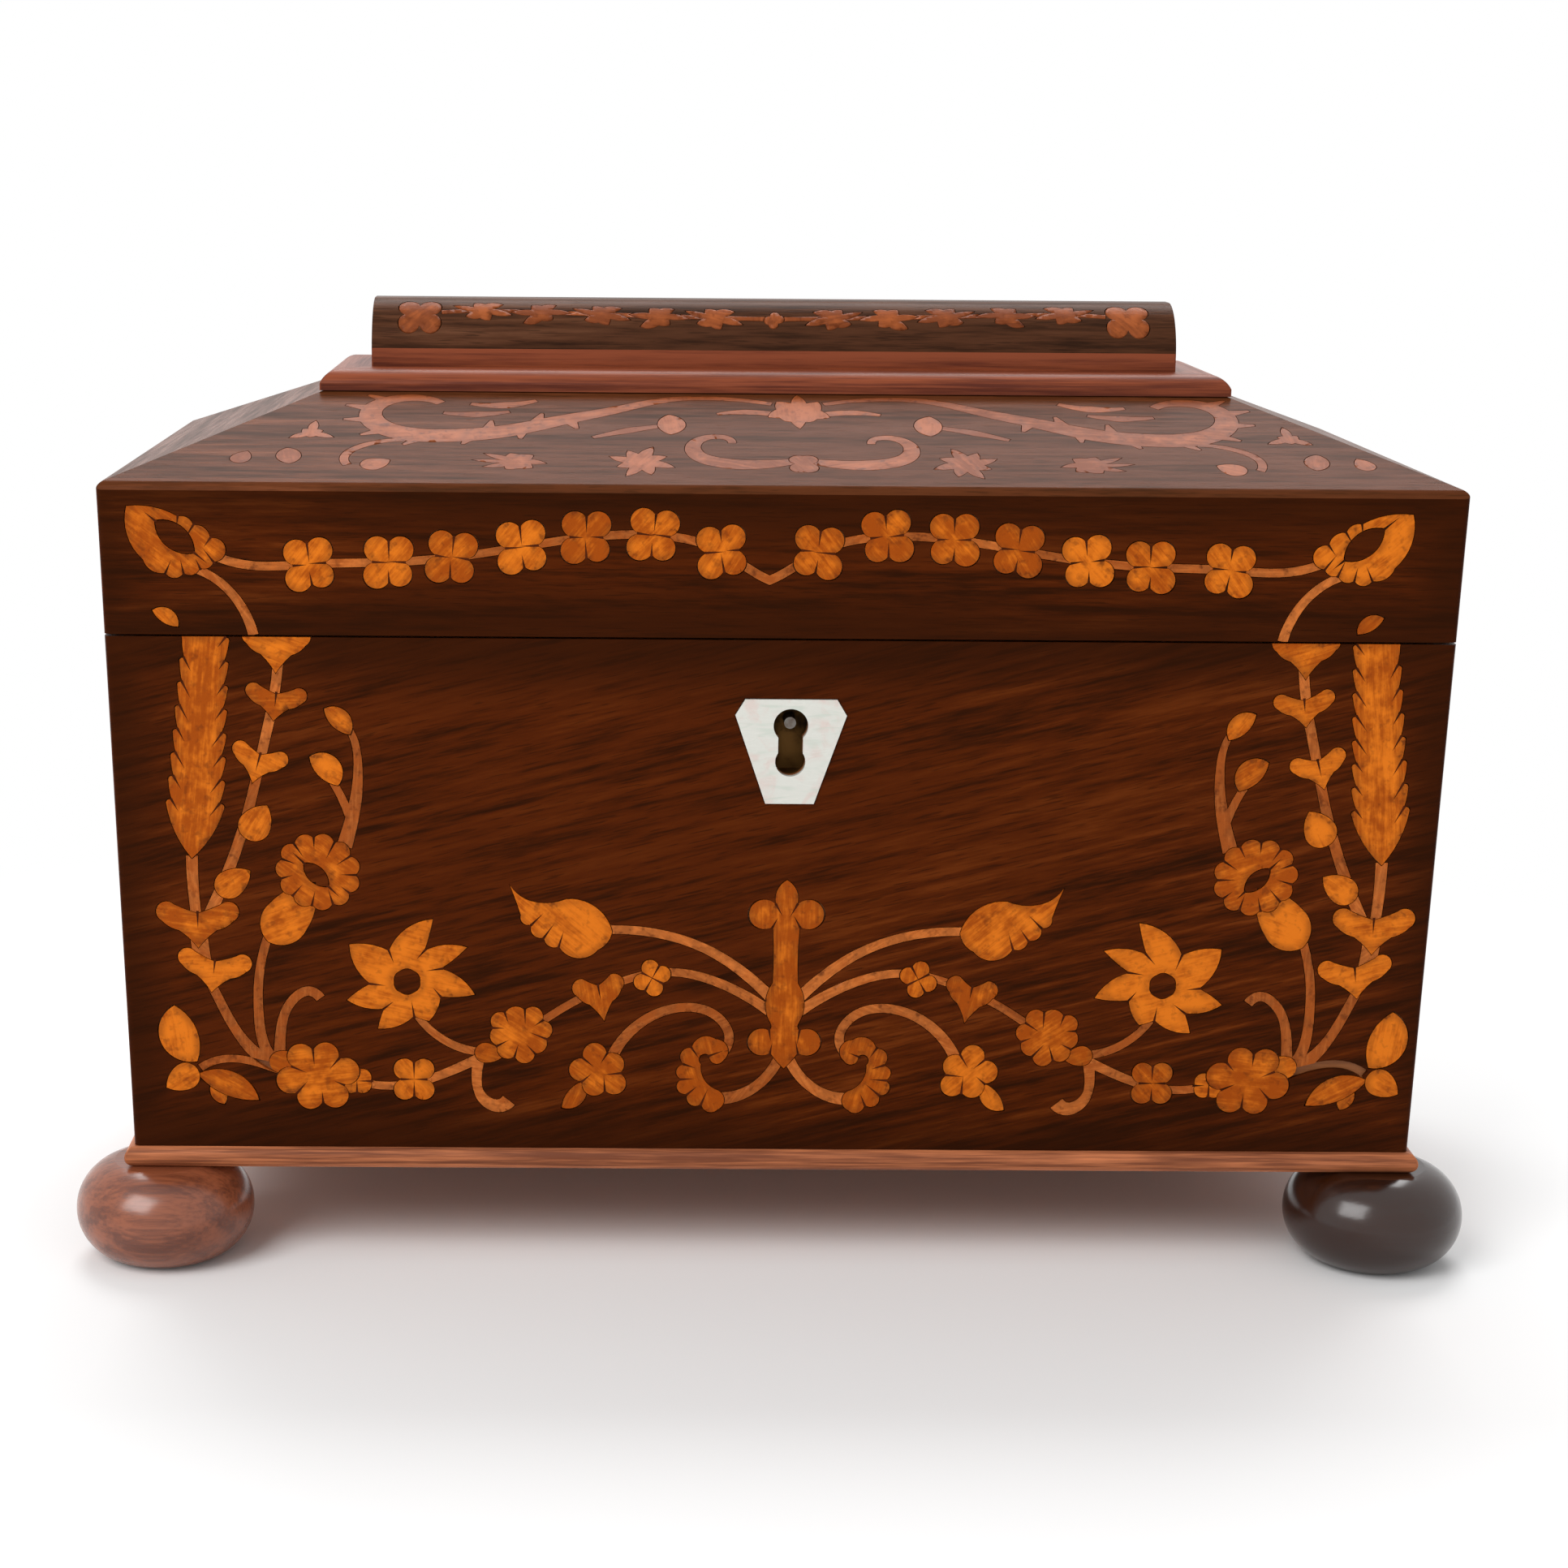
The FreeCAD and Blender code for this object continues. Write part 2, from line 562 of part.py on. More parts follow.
# Linings of the case and the lid
floor_top = f"{wall_foot} + lining_thickness"
inner_inset = "veneer_thickness + wall_thickness"
floor_inset = f"{lean_at(wall_foot)} + {inner_inset}"
node("floor_lining", frustum(wall_foot, floor_top, floor_inset, f"{lean_at(floor_top)} + {inner_inset}"))
lining_top = "rim_level - lining_drop"
plate_window = block(
    ("keyhole_offset - lock_length / 2 - fit_clearance", "0 - half_depth",
     "rim_level - lock_height - fit_clearance"),
    ("lock_length + 2 * fit_clearance", "half_depth", "lock_height + lining_drop"),
)
node("wall_lining", cut(
    frustum(floor_top, lining_top, f"{lean_at(floor_top)} + {inner_inset}",
            f"{lean_at(lining_top)} + {inner_inset}"),
    frustum(floor_top, lining_top, f"{lean_at(floor_top)} + {inner_inset} + lining_thickness",
            f"{lean_at(lining_top)} + {inner_inset} + lining_thickness"),
    plate_window,
))
lid_lining_foot = "lid_foot_level + lining_drop"
node("lid_lining", cut(
    frustum(lid_lining_foot, outer_top, f"{lean_at(lid_lining_foot)} + {inner_inset}",
            f"{lean_at(outer_top)} + {inner_inset}"),
    frustum(lid_lining_foot, outer_top, f"{lean_at(lid_lining_foot)} + {inner_inset} + lining_thickness",
            f"{lean_at(outer_top)} + {inner_inset} + lining_thickness"),
))

# Two butt hinges let into the back edges
hinge_middles = ("0 - hinge_spacing / 2", "hinge_spacing / 2")
leaf_low = "pin_reach - hinge_leaf_width"


def hinge_leaves(level, knuckles, others):
    """Both leaves of one half of the hinges, and the seats let into the wood for them."""
    leaves = []
    seats = []
    for middle in hinge_middles:
        start = f"{middle} - hinge_length / 2"
        leaf = block((start, leaf_low, level), ("hinge_length", "hinge_leaf_width", "hinge_leaf_thickness"))
        barrels = [
            rod((f"{start} + {place} * knuckle_length + knuckle_gap / 2", "pin_reach", "pin_level"),
                "knuckle_radius", "knuckle_length - knuckle_gap", "right")
            for place in knuckles
        ]
        notches = [
            rod((f"{start} + {place} * knuckle_length - knuckle_gap / 2", "pin_reach", "pin_level"),
                "knuckle_radius + knuckle_clearance", "knuckle_length + knuckle_gap", "right")
            for place in others
        ]
        bore = rod((start, "pin_reach", "pin_level"), "pin_diameter / 2 + pin_clearance", "hinge_length",
                   "right")
        leaves.append(cut(fused([cut(leaf, *notches), *barrels]), bore))
        seats.append(block(
            (f"{start} - fit_clearance", f"{leaf_low} - fit_clearance", level),
            ("hinge_length + 2 * fit_clearance", "hinge_leaf_width", "hinge_leaf_thickness"),
        ))
    return leaves, seats


screw_row = f"{leaf_low} + hinge_leaf_width / 3"
screw_columns = [f"{middle} {way} hinge_length / 3" for middle in hinge_middles for way in ("-", "+")]
case_leaves, case_seats = hinge_leaves("rim_level - hinge_leaf_thickness", (0, 2, 4), (1, 3))
lid_leaves, lid_seats = hinge_leaves("lid_foot_level", (1, 3), (0, 2, 4))
case_screws, case_screw_holes = screws([(x, screw_row, "rim_level") for x in screw_columns], "down")
lid_screws, lid_screw_holes = screws([(x, screw_row, "lid_foot_level") for x in screw_columns], "up")
node("hinge_case_leaves", group([cut(leaf, case_screw_holes) for leaf in case_leaves]))
node("hinge_lid_leaves", group([cut(leaf, lid_screw_holes) for leaf in lid_leaves]))
node("hinge_case_screws", case_screws)
node("hinge_lid_screws", lid_screws)
node("hinge_pins", group([
    rod((f"{middle} - hinge_length / 2", "pin_reach", "pin_level"),
        "pin_diameter / 2", "hinge_length", "right")
    for middle in hinge_middles
]))

# Box lock in the front board, its sliding bolt, and the hooked plate in the lid
case_half = "lock_case_length / 2"
plate_half = "lock_length / 2"


def lock_block(left, right, near, far, low, high):
    """A block of the lock: left and right of the keyhole, from the plate's face, and levels under the rim."""
    return block(
        (f"keyhole_offset + {left}", f"0 - lock_reach - ({far})", f"rim_level - ({low})"),
        (f"({right}) - ({left})", f"({far}) - ({near})", f"({low}) - ({high})"),
    )


hook_lefts = ("0 - hook_spacing / 2", "hook_spacing / 2")
hook_near = "lock_depth / 2 - hook_thickness / 2"
hook_far = "lock_depth / 2 + hook_thickness / 2"
bolt_near = "lock_depth / 2 - bolt_thickness / 2"
bolt_far = "lock_depth / 2 + bolt_thickness / 2"
cap_near = "lock_depth - lock_wall"
hook_slots = [
    lock_block(f"{left} - hook_nose - bolt_play", f"{left} + hook_width + bolt_play",
               f"{hook_near} - hook_play", f"{hook_far} + hook_play", "lock_wall", "0")
    for left in hook_lefts
]
lock_shell = fused([
    lock_block(f"0 - {plate_half}", plate_half, "0", "lock_wall", "lock_height", "0"),
    lock_block(f"0 - {plate_half}", plate_half, "0", "selvedge_width", "lock_wall", "0"),
    cut(
        lock_block(f"0 - {case_half}", case_half, "0", cap_near, "lock_case_height", "0"),
        lock_block(f"lock_wall - {case_half}", f"{case_half} - lock_wall", "lock_wall", cap_near,
                   "lock_case_height - lock_wall", "lock_wall"),
    ),
])
lock_screw_shares = (0.25, 0.8)
lock_screw_places = [
    (f"keyhole_offset {way} ({plate_half} + {case_half}) / 2", "0 - lock_reach",
     f"rim_level - {share} * lock_height")
    for way in ("-", "+") for share in lock_screw_shares
]
lock_screws, lock_screw_holes = screws(lock_screw_places, "front")
node("lock_case", cut(lock_shell, *hook_slots, lock_screw_holes))
node("lock_screws", lock_screws)

key_place = ("keyhole_offset", "0 - lock_reach - lock_wall", "key_level")
foot_place = ("keyhole_offset", "0 - lock_reach - lock_wall", "key_level - keyhole_foot_drop")
keyhole = fused([
    rod(key_place, "keyhole_diameter / 2", "half_depth", "front"),
    rod(foot_place, "keyhole_foot_diameter / 2", "half_depth", "front"),
    block(("keyhole_offset - keyhole_waist / 2", "0 - lock_reach - lock_wall - half_depth",
           "key_level - keyhole_foot_drop"),
          ("keyhole_waist", "half_depth", "keyhole_foot_drop")),
])
node("lock_cap", cut(
    lock_block(f"0 - {case_half}", case_half, cap_near, "lock_depth", "lock_case_height", "lock_wall"),
    keyhole,
))
node("lock_key_pin", rod(key_place, "key_pin_diameter / 2", "lock_depth - lock_wall", "front"))

bolt_left = f"{hook_lefts[0]} - hook_nose - bolt_play - bolt_travel - bolt_play - bolt_arm_width"
bolt_right = "hook_spacing / 2 + hook_width"
bolt_bar_foot = "bolt_bar_drop + bolt_bar_height"
bolt_pieces = [lock_block(bolt_left, bolt_right, bolt_near, bolt_far, bolt_bar_foot, "bolt_bar_drop")]
prong_low = "hook_reach - hook_nose_height - bolt_play"
prong_high = "lock_wall + bolt_play"
for left in hook_lefts:
    arm_right = f"{left} - hook_nose - bolt_play - bolt_travel - bolt_play"
    bolt_pieces.append(lock_block(f"{arm_right} - bolt_arm_width", arm_right, bolt_near, bolt_far,
                                  "bolt_bar_drop + bolt_bar_height / 2", prong_high))
    bolt_pieces.append(lock_block(f"{arm_right} - bolt_arm_width / 2", f"{left} - hook_nose - bolt_play",
                                  bolt_near, bolt_far, prong_low, prong_high))
talon = lock_block("0 - (bolt_travel + talon_width) / 2", "(talon_width - bolt_travel) / 2", bolt_near,
                   bolt_far, bolt_bar_foot, f"{bolt_bar_foot} - talon_depth")
node("lock_bolt", cut(fused(bolt_pieces), talon))

spring = new_body("lock_spring")
spring_left = "keyhole_offset + hook_spacing / 4"
spring_right = f"keyhole_offset + {case_half} - lock_wall"
spring_high = "rim_level - bolt_bar_drop - bolt_bar_height - bolt_play"
spring_low = "rim_level - lock_case_height + lock_wall"
bow_radius = "lock_case_length / 2"
pad(spring, outline(spring, "XZ_Plane", [
    (spring_left, f"{spring_high} - spring_thickness", bow_radius, -1),
    (spring_right, spring_low),
    (spring_right, f"{spring_low} + spring_thickness", bow_radius, 1),
    (spring_left, spring_high),
]), "bolt_thickness")
stand(spring, ("0", "0 - hook_middle", "0"))
node("lock_spring", spring)

link_half = "link_plate_length / 2"
link_solid = fused([
    lock_block(f"0 - {link_half}", link_half, "fit_clearance", "selvedge_width", "0 - split_gap",
               "0 - split_gap - link_plate_thickness"),
    *[lock_block(left, f"{left} + hook_width", hook_near, hook_far, "hook_reach", "0 - split_gap")
      for left in hook_lefts],
    *[lock_block(f"{left} - hook_nose", left, hook_near, hook_far, "hook_reach",
                 "hook_reach - hook_nose_height")
      for left in hook_lefts],
])
link_places = [
    (f"keyhole_offset {way} link_screw_spacing / 2", "0 - hook_middle", "lid_foot_level")
    for way in ("-", "+")
]
link_screws, link_screw_holes = screws(link_places, "up")
node("link_plate", cut(link_solid, link_screw_holes))
node("link_screws", link_screws)
link_seat = lock_block(f"0 - {link_half} - fit_clearance", f"{link_half} + fit_clearance", "0 - wall_thickness",
                       "selvedge_width + fit_clearance", "0", "0 - split_gap - link_plate_thickness")

# Boards with their seats and holes
plate_seat = lock_block(f"0 - {plate_half} - fit_clearance", f"{plate_half} + fit_clearance",
                        "0 - wall_thickness", "lock_wall + fit_clearance", "lock_height + fit_clearance", "0")
case_seat = lock_block(f"0 - {case_half} - fit_clearance", f"{case_half} + fit_clearance", "0",
                       "lock_depth + fit_clearance", "lock_case_height + fit_clearance", "0")
selvedge_seat = lock_block(f"0 - {plate_half} - fit_clearance", f"{plate_half} + fit_clearance", "0",
                           "selvedge_width + fit_clearance", "lock_wall + fit_clearance", "0")
node("front_board", cut(walls["front"], plate_seat, case_seat, selvedge_seat, lock_screw_holes, keyhole))
node("back_board", cut(walls["back"], *case_seats, case_screw_holes))
node("left_board", walls["left"])
node("right_board", walls["right"])
node("lid_front_wall", cut(lid_walls["front"], link_seat, link_screw_holes))
node("lid_back_wall", cut(lid_walls["back"], *lid_seats, lid_screw_holes))
node("lid_left_wall", lid_walls["left"])
node("lid_right_wall", lid_walls["right"])
node("back_veneer", cut(case_veneers["back"], *case_seats))
node("end_veneers", group([case_veneers["left"], case_veneers["right"]]))
node("lid_back_veneer", cut(lid_veneers["back"], *lid_seats))
node("lid_end_veneers", group([lid_veneers["left"], lid_veneers["right"]]))
node("back_slope_veneer", slope_veneers["back"])
node("end_slope_veneers", group([slope_veneers["left"], slope_veneers["right"]]))

# Pearl escutcheon in the plane of the front veneer
shield_top = "body_height - escutcheon_drop"
front_plane = ("0", "side_lean - half_depth", "base_level")


def shield(name, gap):
    """The escutcheon's outline as a plate, larger all round by a gap."""
    plate = new_body(name)
    pad(plate, outline(plate, "XY_Plane", [
        (f"keyhole_offset - escutcheon_foot_width / 2 - {gap}", f"{shield_top} - escutcheon_height - {gap}"),
        (f"keyhole_offset + escutcheon_foot_width / 2 + {gap}", f"{shield_top} - escutcheon_height - {gap}"),
        (f"keyhole_offset + escutcheon_width / 2 + {gap}", f"{shield_top} - escutcheon_clip"),
        (f"keyhole_offset + escutcheon_top_width / 2 + {gap}", f"{shield_top} + {gap}"),
        (f"keyhole_offset - escutcheon_top_width / 2 - {gap}", f"{shield_top} + {gap}"),
        (f"keyhole_offset - escutcheon_width / 2 - {gap}", f"{shield_top} - escutcheon_clip"),
    ], level=f"glue_bed - veneer_thickness - {gap}"),
        f"veneer_thickness - glue_bed + escutcheon_proud + {gap}", side="One side")
    stand(plate, front_plane, (1, 0, 0), "90 deg + lean_angle")
    return plate


node("escutcheon", cut(shield("escutcheon_blank", "0"), keyhole))
doc.recompute()


# Marquetry shapes. A shape is a closed run of arcs, written as a corner, a point on the arc that leaves it,
# the next corner and so on, in shares of the shape's own length with its root at zero and its tip along +X.

def mirrored(lower_shares):
    """Close a half outline that starts and ends on the axis with its mirror image."""
    return lower_shares + [(x, -y) for x, y in lower_shares[-2:0:-1]]


def leaf(width_share, belly_share=0.5, bend_share=0.0):
    half_share = width_share / 2
    return [(0, 0), (belly_share, bend_share - half_share), (1, 0), (belly_share, bend_share + half_share)]


def widened(shape_shares, width_share):
    return [(x, y * width_share) for x, y in shape_shares]


bud_shares = [(0, 0), (0.12, -0.37), (0.42, -0.5), (0.76, -0.33), (1, 0)]
husk_shares = [
    (0, 0), (0.2, -0.1), (0.4, -0.24), (0.5, -0.38), (0.62, -0.46), (0.88, -0.52), (0.98, -0.3),
    (0.86, -0.14),
    (0.78, 0),
]


def bud(width_share):
    return widened(mirrored(bud_shares), width_share)


def husk(width_share):
    """A cup with two rounded lobes turned out."""
    return widened(mirrored(husk_shares), width_share)


def polar(reach, degrees, squeeze=1.0):
    return (reach * math.cos(math.radians(degrees)), squeeze * reach * math.sin(math.radians(degrees)))


def scallop(lobes, notch_share, squeeze_share=1.0, reach_shares=(1.0,)):
    """A ring of rounded lobes whose reaches repeat in turn."""
    step = 360 / lobes
    points = []
    for lobe in range(lobes):
        points.append(polar(notch_share, lobe * step, squeeze_share))
        points.append(polar(reach_shares[lobe % len(reach_shares)], (lobe + 0.5) * step, squeeze_share))
    return points


def star(tip_shares, notch_share, swirl, belly_share=0.24):
    """Pointed petals that curl the same way; a tip is its direction and its reach."""
    points = []
    befores = tip_shares[-1:] + tip_shares[:-1]
    afters = tip_shares[1:] + tip_shares[:1]
    for (before, _), (direction, reach), (after, _) in zip(befores, tip_shares, afters):
        gap_before = (direction - before) % 360
        gap_after = (after - direction) % 360
        waist = (notch_share + reach) / 2
        points.append(polar(notch_share, direction - gap_before / 2 - swirl))
        points.append(polar(waist, direction - belly_share * gap_before - swirl / 2))
        points.append(polar(reach, direction))
        points.append(polar(waist, direction + belly_share * gap_after - swirl / 2))
    return points


def ear(rows, width_share, foot_share=0.22, narrowing_share=0.3, notch_share=0.8):
    """An ear of corn: pointed at its foot, husks up both edges, narrower towards its far end."""
    lower = [(0, 0), (foot_share / 2, -width_share / 3)]
    pitch = (1 - foot_share) / rows
    for row in range(rows):
        tip = foot_share + row * pitch
        half = width_share / 2 * (1 - narrowing_share * (tip - foot_share))
        lower.append((tip, -half))
        lower.append((tip + pitch / 6, -half * (1 + notch_share) / 2))
        lower.append((tip + pitch / 8, -half * notch_share))
        lower.append((tip + pitch / 2, -half * (1 + notch_share) / 2))
    return mirrored(lower + [(1, -width_share / 3), (1, -width_share / 6), (1, 0)])


class Panel:
    """A face with marquetry. Places on it are hundredths of half the lid's length and of its height."""

    def __init__(self, half, height):
        self.half = half
        self.height = height

    def spot(self, across, up):
        return FreeCAD.Vector(across * self.half / 100, up * self.height / 100, 0)

    def shape(self, shares, spot, heading, length):
        """The points of a shape with its root at a spot, its heading in degrees, its length in hundredths."""
        root = self.spot(*spot)
        size = length * self.half / 100
        cosine = math.cos(math.radians(heading))
        sine = math.sin(math.radians(heading))
        turned = [FreeCAD.Vector(x * cosine - y * sine, x * sine + y * cosine, 0) for x, y in shares]
        return [root + offset * size for offset in turned]

    def run(self, spots):
        """The points of a shape drawn straight on the panel."""
        return [self.spot(across, up) for across, up in spots]


def grown(points, gap, least_spread=0.25):
    """The same outline moved outwards by a gap."""
    area = sum(a.x * b.y - b.x * a.y for a, b in zip(points, points[1:] + points[:1]))
    way = 1 if area > 0 else -1
    moved = []
    for before, point, after in zip(points[-1:] + points[:-1], points, points[1:] + points[:1]):
        sides = []
        for chord in (point - before, after - point):
            sides.append(FreeCAD.Vector(chord.y, -chord.x, 0).normalize() * way)
        out = (sides[0] + sides[1]).normalize()
        spread = max(out.dot(sides[0]), least_spread)
        moved.append(point + out * (gap / spread))
    return moved


def arc_face(points):
    edges = []
    for start in range(0, len(points), 2):
        corner, middle, end = points[start], points[start + 1], points[(start + 2) % len(points)]
        bulge = (middle - corner).cross(end - corner).Length
        if bulge < 1e-6 * (end - corner).Length ** 2:
            edges.append(Part.LineSegment(corner, end).toShape())
        else:
            edges.append(Part.Arc(corner, middle, end).toShape())
    return Part.Face(Part.Wire(edges))


def stem_face(points, widths, gap):
    """A strip of changing width along a smooth line through the points."""
    line = Part.BSplineCurve()
    line.interpolate(points)
    steps = 4 * (len(points) - 1)
    left = []
    right = []
    for step in range(steps + 1):
        share = step / steps
        at = line.FirstParameter + (line.LastParameter - line.FirstParameter) * share
        point = line.value(at)
        along = FreeCAD.Vector(*line.tangent(at)[0]).normalize()
        if step == 0:
            point = point - along * gap
        if step == steps:
            point = point + along * gap
        place = share * (len(widths) - 1)
        index = min(int(place), len(widths) - 2)
        half = (widths[index] + (widths[index + 1] - widths[index]) * (place - index)) / 2 + gap
        across = FreeCAD.Vector(-along.y, along.x, 0)
        left.append(point + across * half)
        right.append(point - across * half)
    edges = []
    for side in (left, right):
        curve = Part.BSplineCurve()
        curve.interpolate(side)
        edges.append(curve.toShape())
    caps = [Part.LineSegment(left[end], right[end]).toShape() for end in (0, -1)]
    return Part.Face(Part.Wire([edges[0], caps[1], edges[1], caps[0]]))


def near(first, second):
    return first.BoundBox.intersect(second.BoundBox)


def both_sides(face):
    return [face, face.mirror(FreeCAD.Vector(), FreeCAD.Vector(1, 0, 0))]


def inlay(panel, flowers, stems, middle, field):
    """Flat pieces of inlay and the openings sawn for them: flowers first, stems fitted round them.

    A flower is (outline points, points of the opening in it or nothing).
    """
    kerf = value("saw_kerf")
    pieces = []
    openings = []
    for points, hole in flowers + middle:
        face = arc_face(points)
        opening = arc_face(grown(points, kerf))
        if hole:
            face = face.cut(arc_face(hole))
            opening = opening.cut(arc_face(grown(hole, -kerf)))
        twins = both_sides(face) if (points, hole) in flowers else [face]
        twin_openings = both_sides(opening) if (points, hole) in flowers else [opening]
        for twin, twin_opening in zip(twins, twin_openings):
            rivals = [other for other in openings if near(other, twin)]
            pieces.append(twin.cut(rivals) if rivals else twin)
            openings.append(twin_opening)
    strips = []
    strip_openings = []
    for spots, widths in stems:
        points = panel.run(spots)
        sizes = [width * panel.half / 100 for width in widths]
        strips += both_sides(stem_face(points, sizes, 0))
        strip_openings += both_sides(stem_face(points, sizes, kerf))
    vine = strips[0].multiFuse(strips[1:]).removeSplitter().cut(openings)
    pieces = [piece.common(field) for piece in pieces]
    vine = vine.common(field)
    return pieces, vine.Faces, openings + strip_openings


def prisms(faces, low, high):
    """Stand flat faces up as solids between two heights over the panel's plane."""
    solids = []
    for face in faces:
        for part in face.Faces:
            if part.Area < depth ** 2:
                continue
            solid = part.extrude(FreeCAD.Vector(0, 0, high - low))
            solid.translate(FreeCAD.Vector(0, 0, low))
            solids.append(solid)
    return Part.makeCompound(solids)


def feature(name, shape):
    thing = doc.addObject("Part::Feature", name)
    thing.Shape = shape
    return thing


SAWN_AT_ONCE = 12


def sawn(label, sheet_shape, holes):
    """A veneer with its openings sawn out, a batch at a time, without the specks left between them."""
    left = sheet_shape
    for batch in range(0, len(holes.Solids), SAWN_AT_ONCE):
        left = left.cut(holes.Solids[batch:batch + SAWN_AT_ONCE])
    return feature(label, Part.makeCompound([solid for solid in left.Solids if solid.Volume > depth ** 3]))


def rectangle(half, height):
    corners = [(-half, 0), (half, 0), (half, height), (-half, height), (-half, 0)]
    return Part.Face(Part.makePolygon([FreeCAD.Vector(x, y, 0) for x, y in corners]))


half_length = value("half_length")
depth = value("veneer_thickness")
bed = value("glue_bed")
upright = math.cos(math.radians(value("lean_angle")))

# Case front: an ear, a stem of husks, a daisy, a star flower and scrolls from a middle shaft
front = Panel(half_length, value("body_height") / upright)
star_tip_shares = [(112, 1.0), (149, 1.0), (191, 0.98), (242, 0.66), (301, 0.82), (342, 0.9), (394, 0.98)]
star_spot_shares = (57.1, 33.4)
scroll_shares = [
    (10, 11.9), (9, 9.8), (10, 8), (11.6, 7.6), (12.4, 9.3), (14.3, 9.2), (14.4, 11.3), (16.2, 12.5),
    (15.4, 14.1),
    (16.3, 15.7), (14.9, 17), (15.6, 19.4), (14, 20.4), (12.6, 22.6), (10.4, 22.2), (8.6, 20.6), (9.2, 18),
    (10.4, 17.3), (11.3, 18.9), (12.6, 19), (12.6, 17.2), (12.3, 14.6),
]
tip_leaf_shares = [
    (26.2, 43.6), (29.2, 48.8), (33.1, 49.9), (36.3, 49.1), (38.5, 49.5), (39.8, 50.3), (41.5, 52.5),
    (40.4, 48.7),
    (39.9, 46.7), (39.6, 45.2), (38.2, 45), (38, 42.8), (36.4, 42.4), (35.6, 40.6), (34.2, 40.6),
    (31.5, 38.3),
    (28.3, 40), (26.8, 41.6),
]
shaft_shares = [
    (0, 53.9), (1.5, 51.7), (1.5, 48.9), (5.6, 47.4), (2, 44.8), (1.8, 38.4), (1.9, 33.5),
    (2.9, 29.8), (2.1, 25.5),
    (2, 24.6), (2.3, 24), (5.5, 21.6), (2.1, 19.6), (1.3, 18.2), (0, 16.4),
]
front_flowers = [
    (front.shape(scallop(11, 0.86, 0.92), (70.2, 55), 20, 6.4),
     front.shape(leaf(0.5), (72.4, 56.8), 225, 5.4)),
    (front.shape(star(star_tip_shares, 0.52, 12), star_spot_shares, 0, 10.6),
     front.shape(scallop(6, 0.95), star_spot_shares, 0, 2.1)),
    (front.shape(ear(8, 0.234), (89, 57.5), 95, 36.9), None),
    (front.shape(husk(1.35), (75.9, 93.2), 92, 7), None),
    (front.shape(husk(1.66), (76.4, 84.1), 97, 5.2), None),
    (front.shape(husk(1.4), (79.7, 72.2), 106, 5.7), None),
    (front.shape(bud(0.8), (80.8, 61.4), 122, 6), None),
    (front.shape(bud(0.7), (85.4, 50.8), 146, 6.1), None),
    (front.shape(husk(1.71), (88.4, 39.9), 90, 6.9), None),
    (front.shape(husk(1.71), (86.6, 31.1), 97, 6.2), None),
    (front.shape(leaf(0.55, 0.45, 0.1), (65.1, 81.6), 45.6, 5.4), None),
    (front.shape(leaf(0.62, 0.45, 0.14), (67, 71.8), 46, 6), None),
    (front.shape(bud(0.58), (77.9, 41.2), 128, 11.7), None),
    (front.shape(scallop(8, 0.8, 0.92, (1.0, 0.92, 1.04)), (40.1, 23.2), 12, 5), None),
    (front.shape(husk(1.0), (27.3, 25.8), 80, 7.2), None),
    (front.shape(scallop(4, 0.62, 0.72), (20.1, 34.4), 118, 3.3), None),
    (front.run(tip_leaf_shares), None),
    (front.run(scroll_shares), None),
    (front.shape(scallop(5, 0.66, 0.95, (1.0, 0.9)), (28, 15.6), 40, 4.7), None),
    (front.shape(leaf(0.5, 0.45, -0.1), (30.4, 13.6), -52, 5.4), None),
    (front.shape(leaf(0.6, 0.4, -0.12), (89.1, 17.2), 70, 9.4), None),
    (front.shape(bud(0.75), (89.1, 15.6), -32, 5.6), None),
    (front.shape(leaf(0.38, 0.45, -0.06), (89, 14.6), 204, 10), None),
    (front.shape(leaf(0.6), (86.8, 13.2), 245, 4), None),
    (front.shape(scallop(6, 0.66, 1.0, (1.0, 0.92, 1.06)), (70.8, 14.4), 20, 6), None),
    (front.shape(scallop(4, 0.8, 0.8), (64.9, 13.4), 0, 2.6), None),
    (front.shape(scallop(4, 0.55, 0.68), (56.2, 13.8), 90, 4.4), None),
    (front.shape(bud(0.7), (46.9, 19.6), 190, 4.4), None),
    (front.shape(bud(0.75), (78, 16.4), 160, 4.6), None),
]
front_middle = [(front.run(shaft_shares + [(-across, up) for across, up in shaft_shares[-2:0:-1]]), None)]
